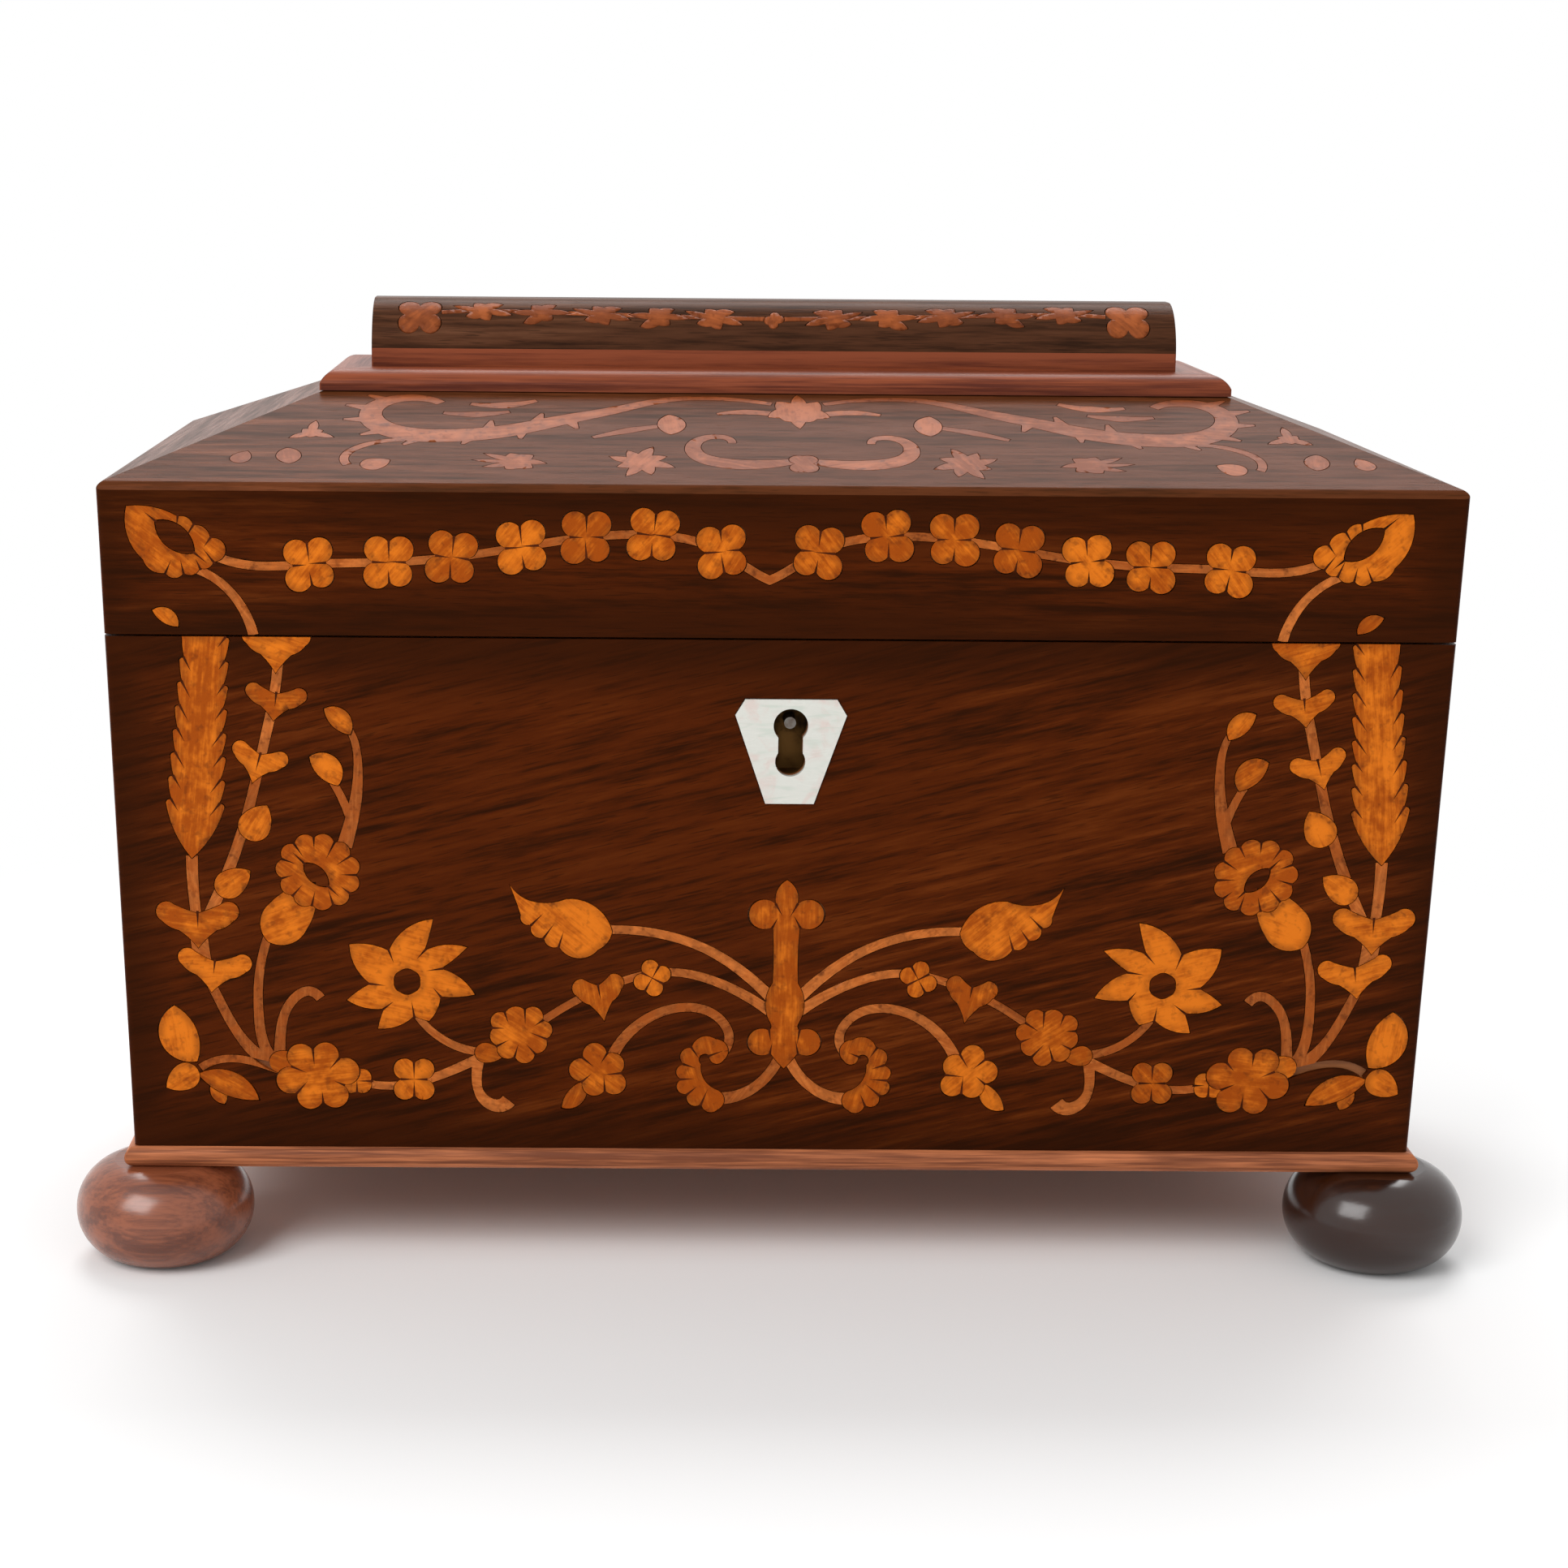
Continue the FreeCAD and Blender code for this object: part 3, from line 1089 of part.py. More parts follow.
front_stem_shares = [
    ([(89, 58), (88.9, 51), (88.4, 44)], (1.8, 1.5)),
    ([(75.4, 100), (76.2, 89), (78.2, 78), (80.6, 66), (83.8, 54.5), (87.8, 43.5)], (1.5, 1.5, 1.8)),
    ([(88.4, 44), (88.1, 40), (87.6, 36)], (2.7, 2.5)),
    ([(86.6, 32.6), (83.4, 24.2), (80, 18.7), (77, 16.4)], (1.4, 1.5, 2.2)),
    ([(66.2, 60), (64.6, 67.7), (64, 75.8), (64.9, 81.8), (66.8, 84.6)], (2.3, 1.8, 1.2, 0.9)),
    ([(65, 64), (66.6, 69.7), (68.6, 74)], (1.3, 1.1)),
    ([(77.9, 42.4), (79.4, 34.3), (79.6, 27.3), (78.4, 19.2), (76.6, 16.4)], (1.3, 1.4, 1.8)),
    ([(76.6, 17.6), (76.2, 24.2), (74.6, 29.3), (72.2, 31.4), (70.2, 30)], (1.8, 1.4, 1.5)),
    ([(57, 30), (54.4, 24.7), (50.4, 20.9), (45.6, 19.4)], (1.1, 1.3)),
    ([(37, 25.4), (32, 29.5), (25.6, 33.3), (17.6, 35.6), (9.6, 33.3), (2, 27.6)], (1.2, 1.2, 1.6)),
    ([(27.4, 43.9), (20, 43.4), (12, 40.2), (5.6, 34.8), (1, 29)], (1.3, 1.4, 1.8)),
    ([(0.6, 19), (3.4, 13.6), (6.8, 10.9), (10.6, 10.4)], (1.6, 1.6, 2)),
    ([(9.4, 19.4), (8.4, 23.2), (10.8, 27.3), (15.2, 28.6), (20.8, 26.3), (26, 18.8)], (1.4, 1.4, 1.7)),
    ([(88.6, 15.9), (84, 17.8), (78.4, 16.4), (71.6, 14.4)], (1.2, 1.2, 1.8)),
    ([(65, 13.5), (56, 13.1), (50.8, 15.4), (44.6, 19.2)], (1.2, 1.3, 1.6)),
    ([(46, 19.4), (46.7, 14.1), (45.8, 10.1), (43.6, 8.5), (41.8, 9.6)], (1.8, 1.4, 2.3)),
]

# Lid front: two open leaves and a garland of bead flowers with a dip in the middle
lid_front = Panel(half_length, value("lid_wall_height - veneer_drop") / upright)
ring_shares = [
    (93.6, 89), (89.8, 88.4), (86.2, 82), (85, 81.6), (84, 76), (82.8, 75.4), (81.6, 67), (79.4, 60),
    (81.2, 51),
    (82, 46.5), (83.2, 46.8), (84.2, 41.8), (85.6, 43.2), (87, 39.4), (88.2, 43), (90.6, 46),
    (91.4, 52), (93.4, 66),
]
lid_flowers = [(lid_front.run(ring_shares), lid_front.shape(leaf(0.5), (83.8, 56.5), 40, 7.6))]
bead_spot_shares = (
    (67.2, 49.6), (55.6, 51.4), (46.4, 55), (36.2, 62.6), (26.8, 69.6), (17, 71.4), (7, 60.4),
)
for number, spot in enumerate(bead_spot_shares):
    bead = scallop(4, 0.56, 0.74, (1.0, 0.94, 1.04))
    lid_flowers.append((lid_front.shape(bead, spot, 84 + 6 * (number % 3), 5), None))
lid_flowers.append((lid_front.shape(leaf(0.5, 0.5, 0.1), (86.6, 5.5), 33, 4.4), None))
lid_stem_shares = [
    ([(81, 55), (76, 48.6), *bead_spot_shares, (2.6, 47), (-0.3, 40)], (1.3, 1.2, 1.3)),
    ([(84, 46), (79.6, 33.8), (76.8, 16), (75.6, 0)], (1.2, 1.3, 1.5)),
]

# Front slope: a middle flower, spiked scrolls and sprigs
slope_length = value("slope_run * slope_stretch")
slope = Panel(half_length, slope_length)
spiked_shares = [(20, 0.95), (62, 0.8), (110, 1.0), (155, 0.8), (200, 1.0), (250, 0.85), (295, 1.0),
                 (335, 0.75)]
finger_shares = [(8, 0.7), (40, 0.5), (120, 0.45), (160, 0.8), (184, 1.0), (208, 0.85), (250, 0.45),
                 (320, 0.5)]
trefoil_shares = [(95, 1.0), (160, 0.45), (205, 0.95), (275, 0.4), (330, 0.9), (400, 0.45)]
middle_shares = [(50, 0.8), (90, 1.0), (130, 0.8), (200, 0.8), (235, 0.6), (270, 0.9), (305, 0.6),
                 (340, 0.8)]
slope_flowers = [
    (slope.shape(star(spiked_shares, 0.5, 5), (24, 26), 0, 5.2), None),
    (slope.shape(star(finger_shares, 0.36, 4), (42.4, 25.5), 180, 6.4), None),
    (slope.shape(leaf(0.62, 0.5, 0.05), (19.6, 54.6), 88, 6.8), None),
    (slope.shape(star(trefoil_shares, 0.34, 5), (73.4, 54), 0, 4), None),
    (slope.shape(leaf(0.7), (75.6, 22), 80, 5.2), None),
    (slope.shape(bud(0.75), (83.6, 22.5), 110, 4), None),
    (slope.shape(bud(0.8), (65, 19), 150, 4.6), None),
]
slope_middle = [
    (slope.shape(star(middle_shares, 0.56, 3), (0, 79), 0, 6.2), None),
    (slope.shape(scallop(4, 0.7, 0.5), (0, 25), 90, 3.7), None),
]
slope_stem_shares = [
    ([(4, 88), (12, 93.6), (20, 91.8), (28, 80.2), (36, 69), (44, 57.3), (52.8, 51.8), (60, 54.4),
      (64.4, 66.6),
      (64.8, 80), (61.8, 90.4), (57.8, 92), (54.6, 86.5)], (1.1, 1.3, 2.2, 3.4, 4.2, 4.4, 3.2, 1.6)),
    ([(0.6, 28), (6.4, 24.2), (11.6, 25.2), (15.4, 32), (16.2, 43.2), (14, 51.8), (11.2, 51.4), (10.4, 46)],
     (1.5, 2.6, 3.2, 3, 2.4, 1.6, 1.2)),
    ([(20.4, 64), (26.4, 57.8), (31.2, 50.8)], (1.0, 1.8, 0.8)),
    ([(59.2, 47), (64.8, 42), (67.6, 32), (67.2, 21)], (0.9, 1.3, 1.3)),
    ([(40, 90), (44.8, 84.7), (50, 86)], (0.9, 2.2, 0.8)),
    ([(44, 77.7), (48.8, 74.6), (54, 76)], (0.8, 2, 0.8)),
    ([(4, 77), (8.8, 79), (12.4, 76.6)], (1.6, 1.7, 0.7)),
]
spike_shares = (
    ((62.4, 88), (65.8, 95)), ((64.6, 80), (69, 84)), ((64.4, 68), (69, 68.5)), ((62, 58), (66, 52)),
    ((56, 52), (59.4, 42)), ((49, 53), (50.6, 43)), ((42, 60), (42, 49)), ((35, 70), (33.6, 60)),
    ((40, 64), (39, 76)), ((47, 56), (46.6, 68)),
)
for root, tip in spike_shares:
    slope_stem_shares.append(([root, tip], (2.6, 0.5)))

# Cushion front: two quatrefoils and a row of leaf sprays
crown_slant = value("sqrt(crown_run * crown_run + crown_height * crown_height)")
cushion = Panel(half_length, crown_slant)
spray_shares = [(10, 1.0), (48, 0.5), (150, 0.75), (188, 1.0), (235, 0.5), (330, 0.62)]
spray_spot_shares = (((45.6, 56), 4), ((36.4, 53), 172), ((27, 50), 6), ((18, 47), 176), ((9.4, 45), 8))
cushion_flowers = [(cushion.shape(scallop(4, 0.56, 0.85), (55.4, 47), 0, 4.2), None)]
for spot, heading in spray_spot_shares:
    cushion_flowers.append((cushion.shape(star(spray_shares, 0.36, 4), spot, heading, 4.6), None))
cushion_middle = [(cushion.shape(scallop(4, 0.7, 0.7), (0, 42), 45, 1.8), None)]
cushion_stem_shares = [([(52, 52), (43, 55.4), (34, 52.4), (24, 49), (14, 46.2), (7, 44.4), (-0.3, 43)],
                        (0.8, 0.8))]


def marquetry(panel, drawing, base, angle, blank, label, kinds):
    """Saw a drawing into a veneer and lay the pieces of inlay into it."""
    pieces, vine, openings = inlay(panel, *drawing, rectangle(half_length, panel.height))
    holes = feature(label + "_openings", prisms(openings, -2 * depth, depth))
    stand(holes, base, (1, 0, 0), angle)
    for kind, faces in zip(kinds, (pieces, vine)):
        laid = feature(kind, prisms(faces, bed - depth, 0))
        stand(laid, base, (1, 0, 0), angle)
        node(kind, laid)
    doc.recompute()
    return sawn(label + "_sawn", blank.Shape, holes.Shape)


wall_turn = "90 deg + lean_angle"
front_base = ("front_drawing_shift", *front_plane[1:])
front_cut = marquetry(front, (front_flowers, front_stem_shares, front_middle), front_base, wall_turn,
                      case_veneers["front"], "front", ("front_inlay_flowers", "front_inlay_stems"))
lid_base = ("lid_drawing_shift", "lid_foot_inset - half_depth", "lid_foot_level")
lid_cut = marquetry(lid_front, (lid_flowers, lid_stem_shares, []), lid_base, wall_turn,
                    lid_veneers["front"], "lid", ("lid_inlay_flowers", "lid_inlay_stems"))
slope_base = ("slope_drawing_shift", "0 - half_depth", "edge_level")
slope_cut = marquetry(slope, (slope_flowers, slope_stem_shares, slope_middle), slope_base, "atan(pitch)",
                      slope_veneers["front"], "slope", ("slope_inlay_flowers", "slope_inlay_stems"))
node("front_veneer", cut(front_cut, shield("escutcheon_opening", "saw_kerf"), keyhole))
node("lid_front_veneer", lid_cut)
node("front_slope_veneer", slope_cut)

# The cushion's inlay follows its curve, so it is sawn out of the bent sheet itself
field = rectangle(value("block_half_length"), crown_slant)
pieces, vine, openings = inlay(cushion, cushion_flowers, cushion_stem_shares, cushion_middle, field)
tilt = FreeCAD.Rotation(FreeCAD.Vector(1, 0, 0), value("atan(crown_height / crown_run)"))
foot = FreeCAD.Vector(0, value("0 - block_half_depth"), value("crown_level"))
reach = value("crown_height")
cushion_holes = prisms(openings, -reach, reach)
cushion_holes.Placement = FreeCAD.Placement(foot, tilt)
for label, faces in (("crown_inlay_flowers", pieces), ("crown_inlay_stems", vine)):
    blanks = prisms(faces, -reach, reach)
    blanks.Placement = FreeCAD.Placement(foot, tilt)
    bent = [crown_sheet.Shape.common(solid) for solid in blanks.Solids]
    node(label, feature(label, Part.makeCompound([solid for shape in bent for solid in shape.Solids])))
node("crown_veneer", sawn("crown_sawn", crown_sheet.Shape, cushion_holes))
doc.recompute()


# Everything must be sound before it is written
for thing in doc.Objects:
    if any(state in thing.State for state in ("Invalid", "Error")):
        raise RuntimeError(f"{thing.Label} did not build: {thing.State}")
for thing in nodes:
    if thing.Shape.isNull() or not thing.Shape.isValid():
        raise RuntimeError(f"{thing.Label} is not a sound solid")

os.makedirs("parts", exist_ok=True)
for thing in nodes:
    thing.Shape.exportStep(f"parts/{thing.Label}.step")
    print(thing.Label, len(thing.Shape.Solids), round(thing.Shape.Volume, 1))
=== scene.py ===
"""Looks of a rosewood box with floral marquetry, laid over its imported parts."""

import json
import math
import random

import bmesh
import bpy
from mathutils import Matrix, Vector, kdtree


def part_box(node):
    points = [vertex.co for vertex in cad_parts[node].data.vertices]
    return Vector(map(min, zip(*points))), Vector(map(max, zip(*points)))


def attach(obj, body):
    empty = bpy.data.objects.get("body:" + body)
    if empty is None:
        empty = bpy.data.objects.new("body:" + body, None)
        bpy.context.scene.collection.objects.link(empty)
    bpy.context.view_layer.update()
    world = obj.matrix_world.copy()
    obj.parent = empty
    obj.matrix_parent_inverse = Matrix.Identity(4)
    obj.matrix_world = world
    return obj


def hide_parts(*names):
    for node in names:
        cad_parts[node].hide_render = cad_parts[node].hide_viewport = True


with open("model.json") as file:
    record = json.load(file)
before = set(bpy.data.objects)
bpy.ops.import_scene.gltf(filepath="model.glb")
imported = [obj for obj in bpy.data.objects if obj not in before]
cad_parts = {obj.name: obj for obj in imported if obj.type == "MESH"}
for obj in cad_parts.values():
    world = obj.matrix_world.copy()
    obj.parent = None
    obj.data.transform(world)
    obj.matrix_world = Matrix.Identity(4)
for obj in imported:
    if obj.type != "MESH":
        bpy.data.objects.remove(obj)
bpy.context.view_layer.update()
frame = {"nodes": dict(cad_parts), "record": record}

bl_info = {
    "name": "Marquetry Box Looks",
    "version": (1, 0, 0),
    "blender": (4, 5, 0),
    "location": "View3D > Sidebar > Box",
    "description": "Woods, inlay, fittings and studio for a rosewood box with floral marquetry",
    "category": "Object",
}

MILLIMETRE = 0.001
MERGE_DISTANCE = 1e-6
CUT_DISTANCE = 1e-7
SCREEN_FULL = 255


def tint(red, green, blue):
    """A colour written as a screen shows it, turned into the linear light that shaders use."""
    def linear(level):
        share = level / SCREEN_FULL
        return share / 12.92 if share <= 0.04045 else ((share + 0.055) / 1.055) ** 2.4
    return (linear(red), linear(green), linear(blue))


# Sizes and colours that a user would change

def colour_setting(name, description, *levels):
    return bpy.props.FloatVectorProperty(
        name=name, description=description, default=tint(*levels), subtype="COLOR", min=0, max=1)


def length_setting(name, description, millimetres):
    return bpy.props.FloatProperty(
        name=name, description=description, default=millimetres * MILLIMETRE, unit="LENGTH", precision=5)


class WoodSettings(bpy.types.PropertyGroup):
    """Colours of the woods."""
    rosewood_dark: colour_setting("Rosewood streaks", "Dark streaks of the rosewood veneer", 42, 16, 3)
    rosewood_mid: colour_setting("Rosewood", "Main colour of the rosewood veneer", 74, 28, 4)
    rosewood_light: colour_setting("Rosewood lights", "Light fibres of the rosewood veneer", 102, 46, 12)
    # Painted sheen: the slopes' veneer below is a lighter, warmer copy of the rosewood that stands in for
    # the sheen the slopes catch from above.
    sheen_tinted_dark: colour_setting("Faded streaks", "Dark streaks of the slopes' veneer", 60, 33, 16)
    sheen_tinted_mid: colour_setting("Faded rosewood", "Main colour of the slopes' veneer", 87, 46, 24)
    sheen_tinted_light: colour_setting("Faded lights", "Light fibres of the slopes' veneer", 112, 62, 36)
    # Painted sheen: the crown's veneer below is a greyer copy of the rosewood that stands in for the grey
    # sheen on the crown.
    crown_dark: colour_setting("Crown streaks", "Dark streaks of the crown's veneer", 46, 28, 18)
    crown_mid: colour_setting("Crown", "Main colour of the crown's veneer", 76, 46, 30)
    crown_light: colour_setting("Crown lights", "Light fibres of the crown's veneer", 100, 64, 44)
    inlay_pale: colour_setting("Inlay", "Clean colour of the flowers and leaves", 212, 112, 24)
    inlay_deep: colour_setting("Inlay figure", "Deeper figure of the flowers and leaves", 152, 68, 8)
    stem_pale: colour_setting("Stems", "Colour of the stems", 200, 112, 50)
    stem_deep: colour_setting("Stem figure", "Deeper figure of the stems", 150, 74, 26)
    # Painted sheen: the inlay of the slopes and the crown is a paler, rosier copy of the inlay that stands
    # in for the sheen on them.
    rosy_pale: colour_setting("Faded inlay", "Colour of the faded inlay on the lid's top", 158, 84, 44)
    rosy_deep: colour_setting("Faded inlay figure", "Deeper figure of the faded inlay", 118, 60, 32)
    scorch: colour_setting("Scorch", "Hot sand shading and saw lines in the inlay", 74, 30, 10)
    moulding_light: colour_setting("Moulding", "Main colour of the mouldings", 136, 68, 40)
    moulding_dark: colour_setting("Moulding streaks", "Dark streaks of the mouldings", 82, 34, 20)
    # Painted light: the base moulding is a lighter copy of the moulding wood that stands in for the light
    # from the front falling on it.
    base_light: colour_setting("Base moulding", "Main colour of the base moulding", 196, 118, 76)
    base_dark: colour_setting("Base moulding streaks", "Dark streaks of the base moulding", 112, 62, 40)
    foot_red: colour_setting("Reddish foot", "Colour of the left feet", 142, 78, 50)
    foot_streak: colour_setting("Foot streaks", "Dark streaks of the left feet", 98, 50, 32)
    foot_dark: colour_setting("Dark foot", "Colour of the right feet", 44, 25, 18)
    carcase_light: colour_setting("Carcase", "Main colour of the boards inside", 150, 92, 52)
    carcase_dark: colour_setting("Carcase grain", "Grain of the boards inside", 108, 60, 32)
    rim_reach: length_setting("Dark rim", "How far the dark rim of an upright veneer reaches in", 14)
    line_length: length_setting("Saw line length", "Longest saw line in the inlay", 3.4)
    line_width: length_setting("Saw line width", "Width of a saw line at the outline", 0.5)
    line_rise: length_setting("Saw line rise", "How far the filled saw lines stand out", 0.02)


class FittingSettings(bpy.types.PropertyGroup):
    """Colours of the fittings and the lining."""
    pearl: colour_setting("Pearl", "Main colour of the pearl escutcheon", 206, 206, 198)
    pearl_rose: colour_setting("Rose pearl", "Rosy cast in the pearl", 206, 192, 184)
    pearl_green: colour_setting("Green pearl", "Greenish cast in the pearl", 184, 194, 182)
    brass: colour_setting("Brass", "Clean colour of the brass", 205, 160, 84)
    tarnish: colour_setting("Tarnish", "Tarnish on the brass", 112, 80, 42)
    # Painted shade: the lock seen through the keyhole goes to this near black, which stands in for the shade
    # inside the keyhole.
    keyhole_shade: colour_setting("Grime", "Dark grime on the lock", 38, 28, 20)
    steel: colour_setting("Steel", "Colour of the steel pins and spring", 128, 124, 118)
    rust: colour_setting("Rust", "Rust on the steel", 84, 54, 38)
    paper: colour_setting("Lining paper", "Colour of the lining paper", 134, 46, 50)
    paper_worn: colour_setting("Worn lining", "Faded parts of the lining paper", 164, 82, 76)


class StudioSettings(bpy.types.PropertyGroup):
    """Camera, floor and light."""
    camera_place: bpy.props.FloatVectorProperty(
        name="Camera place", description="Where the camera stands", subtype="TRANSLATION", unit="LENGTH",
        default=(-0.0288, -0.5985, 0.2129))
    camera_pitch: bpy.props.FloatProperty(
        name="Camera pitch", description="How far the camera looks down", subtype="ANGLE",
        default=math.radians(12.325))
    camera_yaw: bpy.props.FloatProperty(
        name="Camera yaw", description="How far the camera looks to the right", subtype="ANGLE",
        default=math.radians(0.435))
    camera_roll: bpy.props.FloatProperty(
        name="Camera roll", description="How far the camera is turned about its own axis", subtype="ANGLE",
        default=math.radians(-0.453))
    lens: bpy.props.FloatProperty(
        name="Lens", description="Focal length on a 36 mm sensor", subtype="DISTANCE_CAMERA", default=68.44)
    lens_shift: bpy.props.FloatProperty(
        name="Lens shift", description="Sideways shift of the picture, in picture widths", default=0.088)
    floor_colour: colour_setting("Floor", "Colour of the floor", 243, 243, 243)
    floor_size: length_setting("Floor size", "Width of the floor", 6000)
    fade_start: length_setting("Fade start", "Distance at which the floor starts to fade to white", 110)
    fade_end: length_setting("Fade end", "Distance at which the floor has faded to white", 330)
    room_light: bpy.props.FloatProperty(
        name="Room light", description="Strength of the white light from all sides", default=0.55)
    key_power: bpy.props.FloatProperty(
        name="Key light", description="Power of the lamp at the front left", subtype="POWER", default=15)
    back_power: bpy.props.FloatProperty(
        name="Back light", description="Power of the lamp behind the box", subtype="POWER", default=16)


# Shader expressions

class Socket:
    """A node's output that takes part in Python sums."""

    def __init__(self, finish, socket):
        self.finish = finish
        self.socket = socket

    def maths(self, operation, first, second=0.0):
        return self.finish.node("ShaderNodeMath", {"operation": operation}, {0: first, 1: second})

    def __add__(self, other):
        return self.maths("ADD", self, other)

    def __radd__(self, other):
        return self.maths("ADD", other, self)

    def __sub__(self, other):
        return self.maths("SUBTRACT", self, other)

    def __rsub__(self, other):
        return self.maths("SUBTRACT", other, self)

    def __mul__(self, other):
        return self.maths("MULTIPLY", self, other)

    def __rmul__(self, other):
        return self.maths("MULTIPLY", other, self)

    def __abs__(self):
        return self.maths("ABSOLUTE", self)

    def lowest(self, other):
        return self.maths("MINIMUM", self, other)

    def highest(self, other):
        return self.maths("MAXIMUM", self, other)

    def band(self, low, high, first=0.0, last=1.0):
        """Runs smoothly from first to last while this value runs from low to high."""
        return self.finish.node("ShaderNodeMapRange", {"interpolation_type": "SMOOTHSTEP"}, {
            "Value": self, "From Min": low, "From Max": high, "To Min": first, "To Max": last})


class Finish:
    """A material, or the world, whose nodes are added call by call."""

    def __init__(self, owner):
        self.material = bpy.data.materials.new(owner) if isinstance(owner, str) else owner
        self.material.use_nodes = True
        self.tree = self.material.node_tree
        self.tree.nodes.clear()

    def node(self, kind, settings=None, inputs=None, output=0):
        made = self.tree.nodes.new(kind)
        for key, setting in (settings or {}).items():
            setattr(made, key, setting)
        for key, given in (inputs or {}).items():
            target = made.inputs[key]
            if isinstance(given, Socket):
                self.tree.links.new(given.socket, target)
            elif target.type == "RGBA" and len(given) == 3:
                target.default_value = (*given, 1)
            else:
                target.default_value = given
        if made.outputs:
            return Socket(self, made.outputs[output])

    def place(self):
        return self.node("ShaderNodeTexCoord", output="Object")

    def attribute(self, name, output="Fac"):
        return self.node("ShaderNodeAttribute", {"attribute_name": name}, output=output)

    def axes(self, vector):
        return [self.node("ShaderNodeSeparateXYZ", inputs={0: vector}, output=index) for index in range(3)]

    def turned(self, vector, turn=(0, 0, 0), scale=(1, 1, 1)):
        return self.node("ShaderNodeMapping", {"vector_type": "POINT"}, {
            "Vector": vector, "Rotation": turn, "Scale": scale})

    def noise(self, vector, scale=1.0, detail=2.0, rough=0.5, distortion=0.0):
        return self.node("ShaderNodeTexNoise", inputs={
            "Vector": vector, "Scale": scale, "Detail": detail, "Roughness": rough,
            "Distortion": distortion})

    def grain(self, vector, scale, turn=(0, 0, 0), **look):
        """Noise drawn out into fibres: its scale differs along and across the grain."""
        return self.noise(self.turned(vector, turn, scale), **look)

    def mixed(self, share, first, second):
        return self.node("ShaderNodeMix", {"data_type": "RGBA"}, {0: share, 6: first, 7: second}, output=2)

    def seen(self):
        """One for rays that the camera sees straight, in a reflection or through something."""
        kinds = ("Is Camera Ray", "Is Glossy Ray", "Is Transmission Ray")
        straight, glossy, through = [self.node("ShaderNodeLightPath", output=kind) for kind in kinds]
        return straight.highest(glossy).highest(through)

    def bump(self, height, strength, distance):
        return self.node("ShaderNodeBump", inputs={
            "Height": height, "Strength": strength, "Distance": distance})

    def surface(self, **inputs):
        """Ends the material in a Principled shader; names of inputs have underscores for spaces."""
        named = {key.replace("_", " "): given for key, given in inputs.items()}
        shader = self.node("ShaderNodeBsdfPrincipled", inputs=named)
        self.node("ShaderNodeOutputMaterial", inputs={"Surface": shader})
        return self.material


# Woods

# Turns that lay the grain, which runs along X, another way
ALONG_LENGTH = (0, 0, 0)
ALONG_DEPTH = (0, 0, math.radians(90))
RISING = (0, math.radians(14), 0)

# Scales of the patterns per metre, and where there are three, along and across the grain
ROSEWOOD_WANDER_SCALE = 9
ROSEWOOD_STREAK_SCALE = (9, 190, 190)
ROSEWOOD_FIBRE_SCALE = (55, 760, 760)
ROSEWOOD_PORE_SCALE = (160, 2600, 2600)
INLAY_FIBRE_SCALE = (160, 1500, 1500)
INLAY_CLOUD_SCALE = 260
INLAY_BLOTCH_SCALE = 620
PLAIN_STREAK_SCALE = Vector((7, 260, 260))
PLAIN_FIBRE_SCALE = Vector((60, 1800, 1800))
BOARD_SCALE = 0.6

# Lowest roughness, highest roughness and strength of reflection of the plain woods
MOULDING_POLISH = (0.3, 0.42, 0.14)
BASE_POLISH = (0.4, 0.5, 0.14)
LEFT_FOOT_POLISH = (0.18, 0.3, 0.6)
RIGHT_FOOT_POLISH = (0.14, 0.24, 0.55)
BOARD_POLISH = (0.45, 0.6, 0.2)
DUST_POLISH = (0.5, 0.6, 0.03)

ROSEWOOD_SHINE = 0.022
INLAY_SHINE = 0.05
WOOD_GRAIN_DEPTH = 0.06 * MILLIMETRE
INLAY_GRAIN_DEPTH = 0.04 * MILLIMETRE
SCORCH_START = 0.1 * MILLIMETRE
SCORCH_END = 1.8 * MILLIMETRE
MITRE_WIDTH = 0.3 * MILLIMETRE


def mitre_of(name):
    """How much further a mitred frame reaches across than along the depth, from its middle."""
    low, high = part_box(name)
    return (high[0] - low[0] - high[1] + low[1]) / 2


def rosewood(name, turn, shades, edge_box=None):
    """Polished rosewood with its fibres along X after a turn; edge_box gives an upright panel a dark rim."""
    dark, mid, light = shades
    finish = Finish(name)
    place = finish.place()
    wander = finish.noise(place, ROSEWOOD_WANDER_SCALE)
    along = finish.turned(place, turn)
    streaks = finish.grain(along, ROSEWOOD_STREAK_SCALE, detail=5, rough=0.6, distortion=0.7)
    fibres = finish.grain(along, ROSEWOOD_FIBRE_SCALE, detail=4, rough=0.65)
    pores = finish.grain(along, ROSEWOOD_PORE_SCALE, detail=1)
    figure = streaks * 0.45 + fibres * 0.55
    base = finish.mixed(figure.band(0.36, 0.54), dark, mid)
    base = finish.mixed(figure.band(0.5, 0.66) * wander.band(0.35, 0.62, 0.25, 1.0), base, light)
    base = finish.mixed(pores.band(0.60, 0.70) * 0.55, base, dark)
    if edge_box:
        low, high, reach = edge_box
        across, _, up = finish.axes(place)
        rim = (across - low[0]).lowest(high[0] - across)
        rim = rim.lowest(up - low[2]).lowest(high[2] - up)
        rim = rim + (wander - 0.5) * reach
        base = finish.mixed(rim.band(0, reach, 0.75, 0), base, dark)
    rough = figure.band(0.3, 0.7, 0.34, 0.24)
    return finish.surface(
        Base_Color=base, Roughness=rough, Specular_IOR_Level=ROSEWOOD_SHINE,
        Normal=finish.bump(fibres * 0.5 + pores.band(0.58, 0.7) * -0.5, 0.25, WOOD_GRAIN_DEPTH))


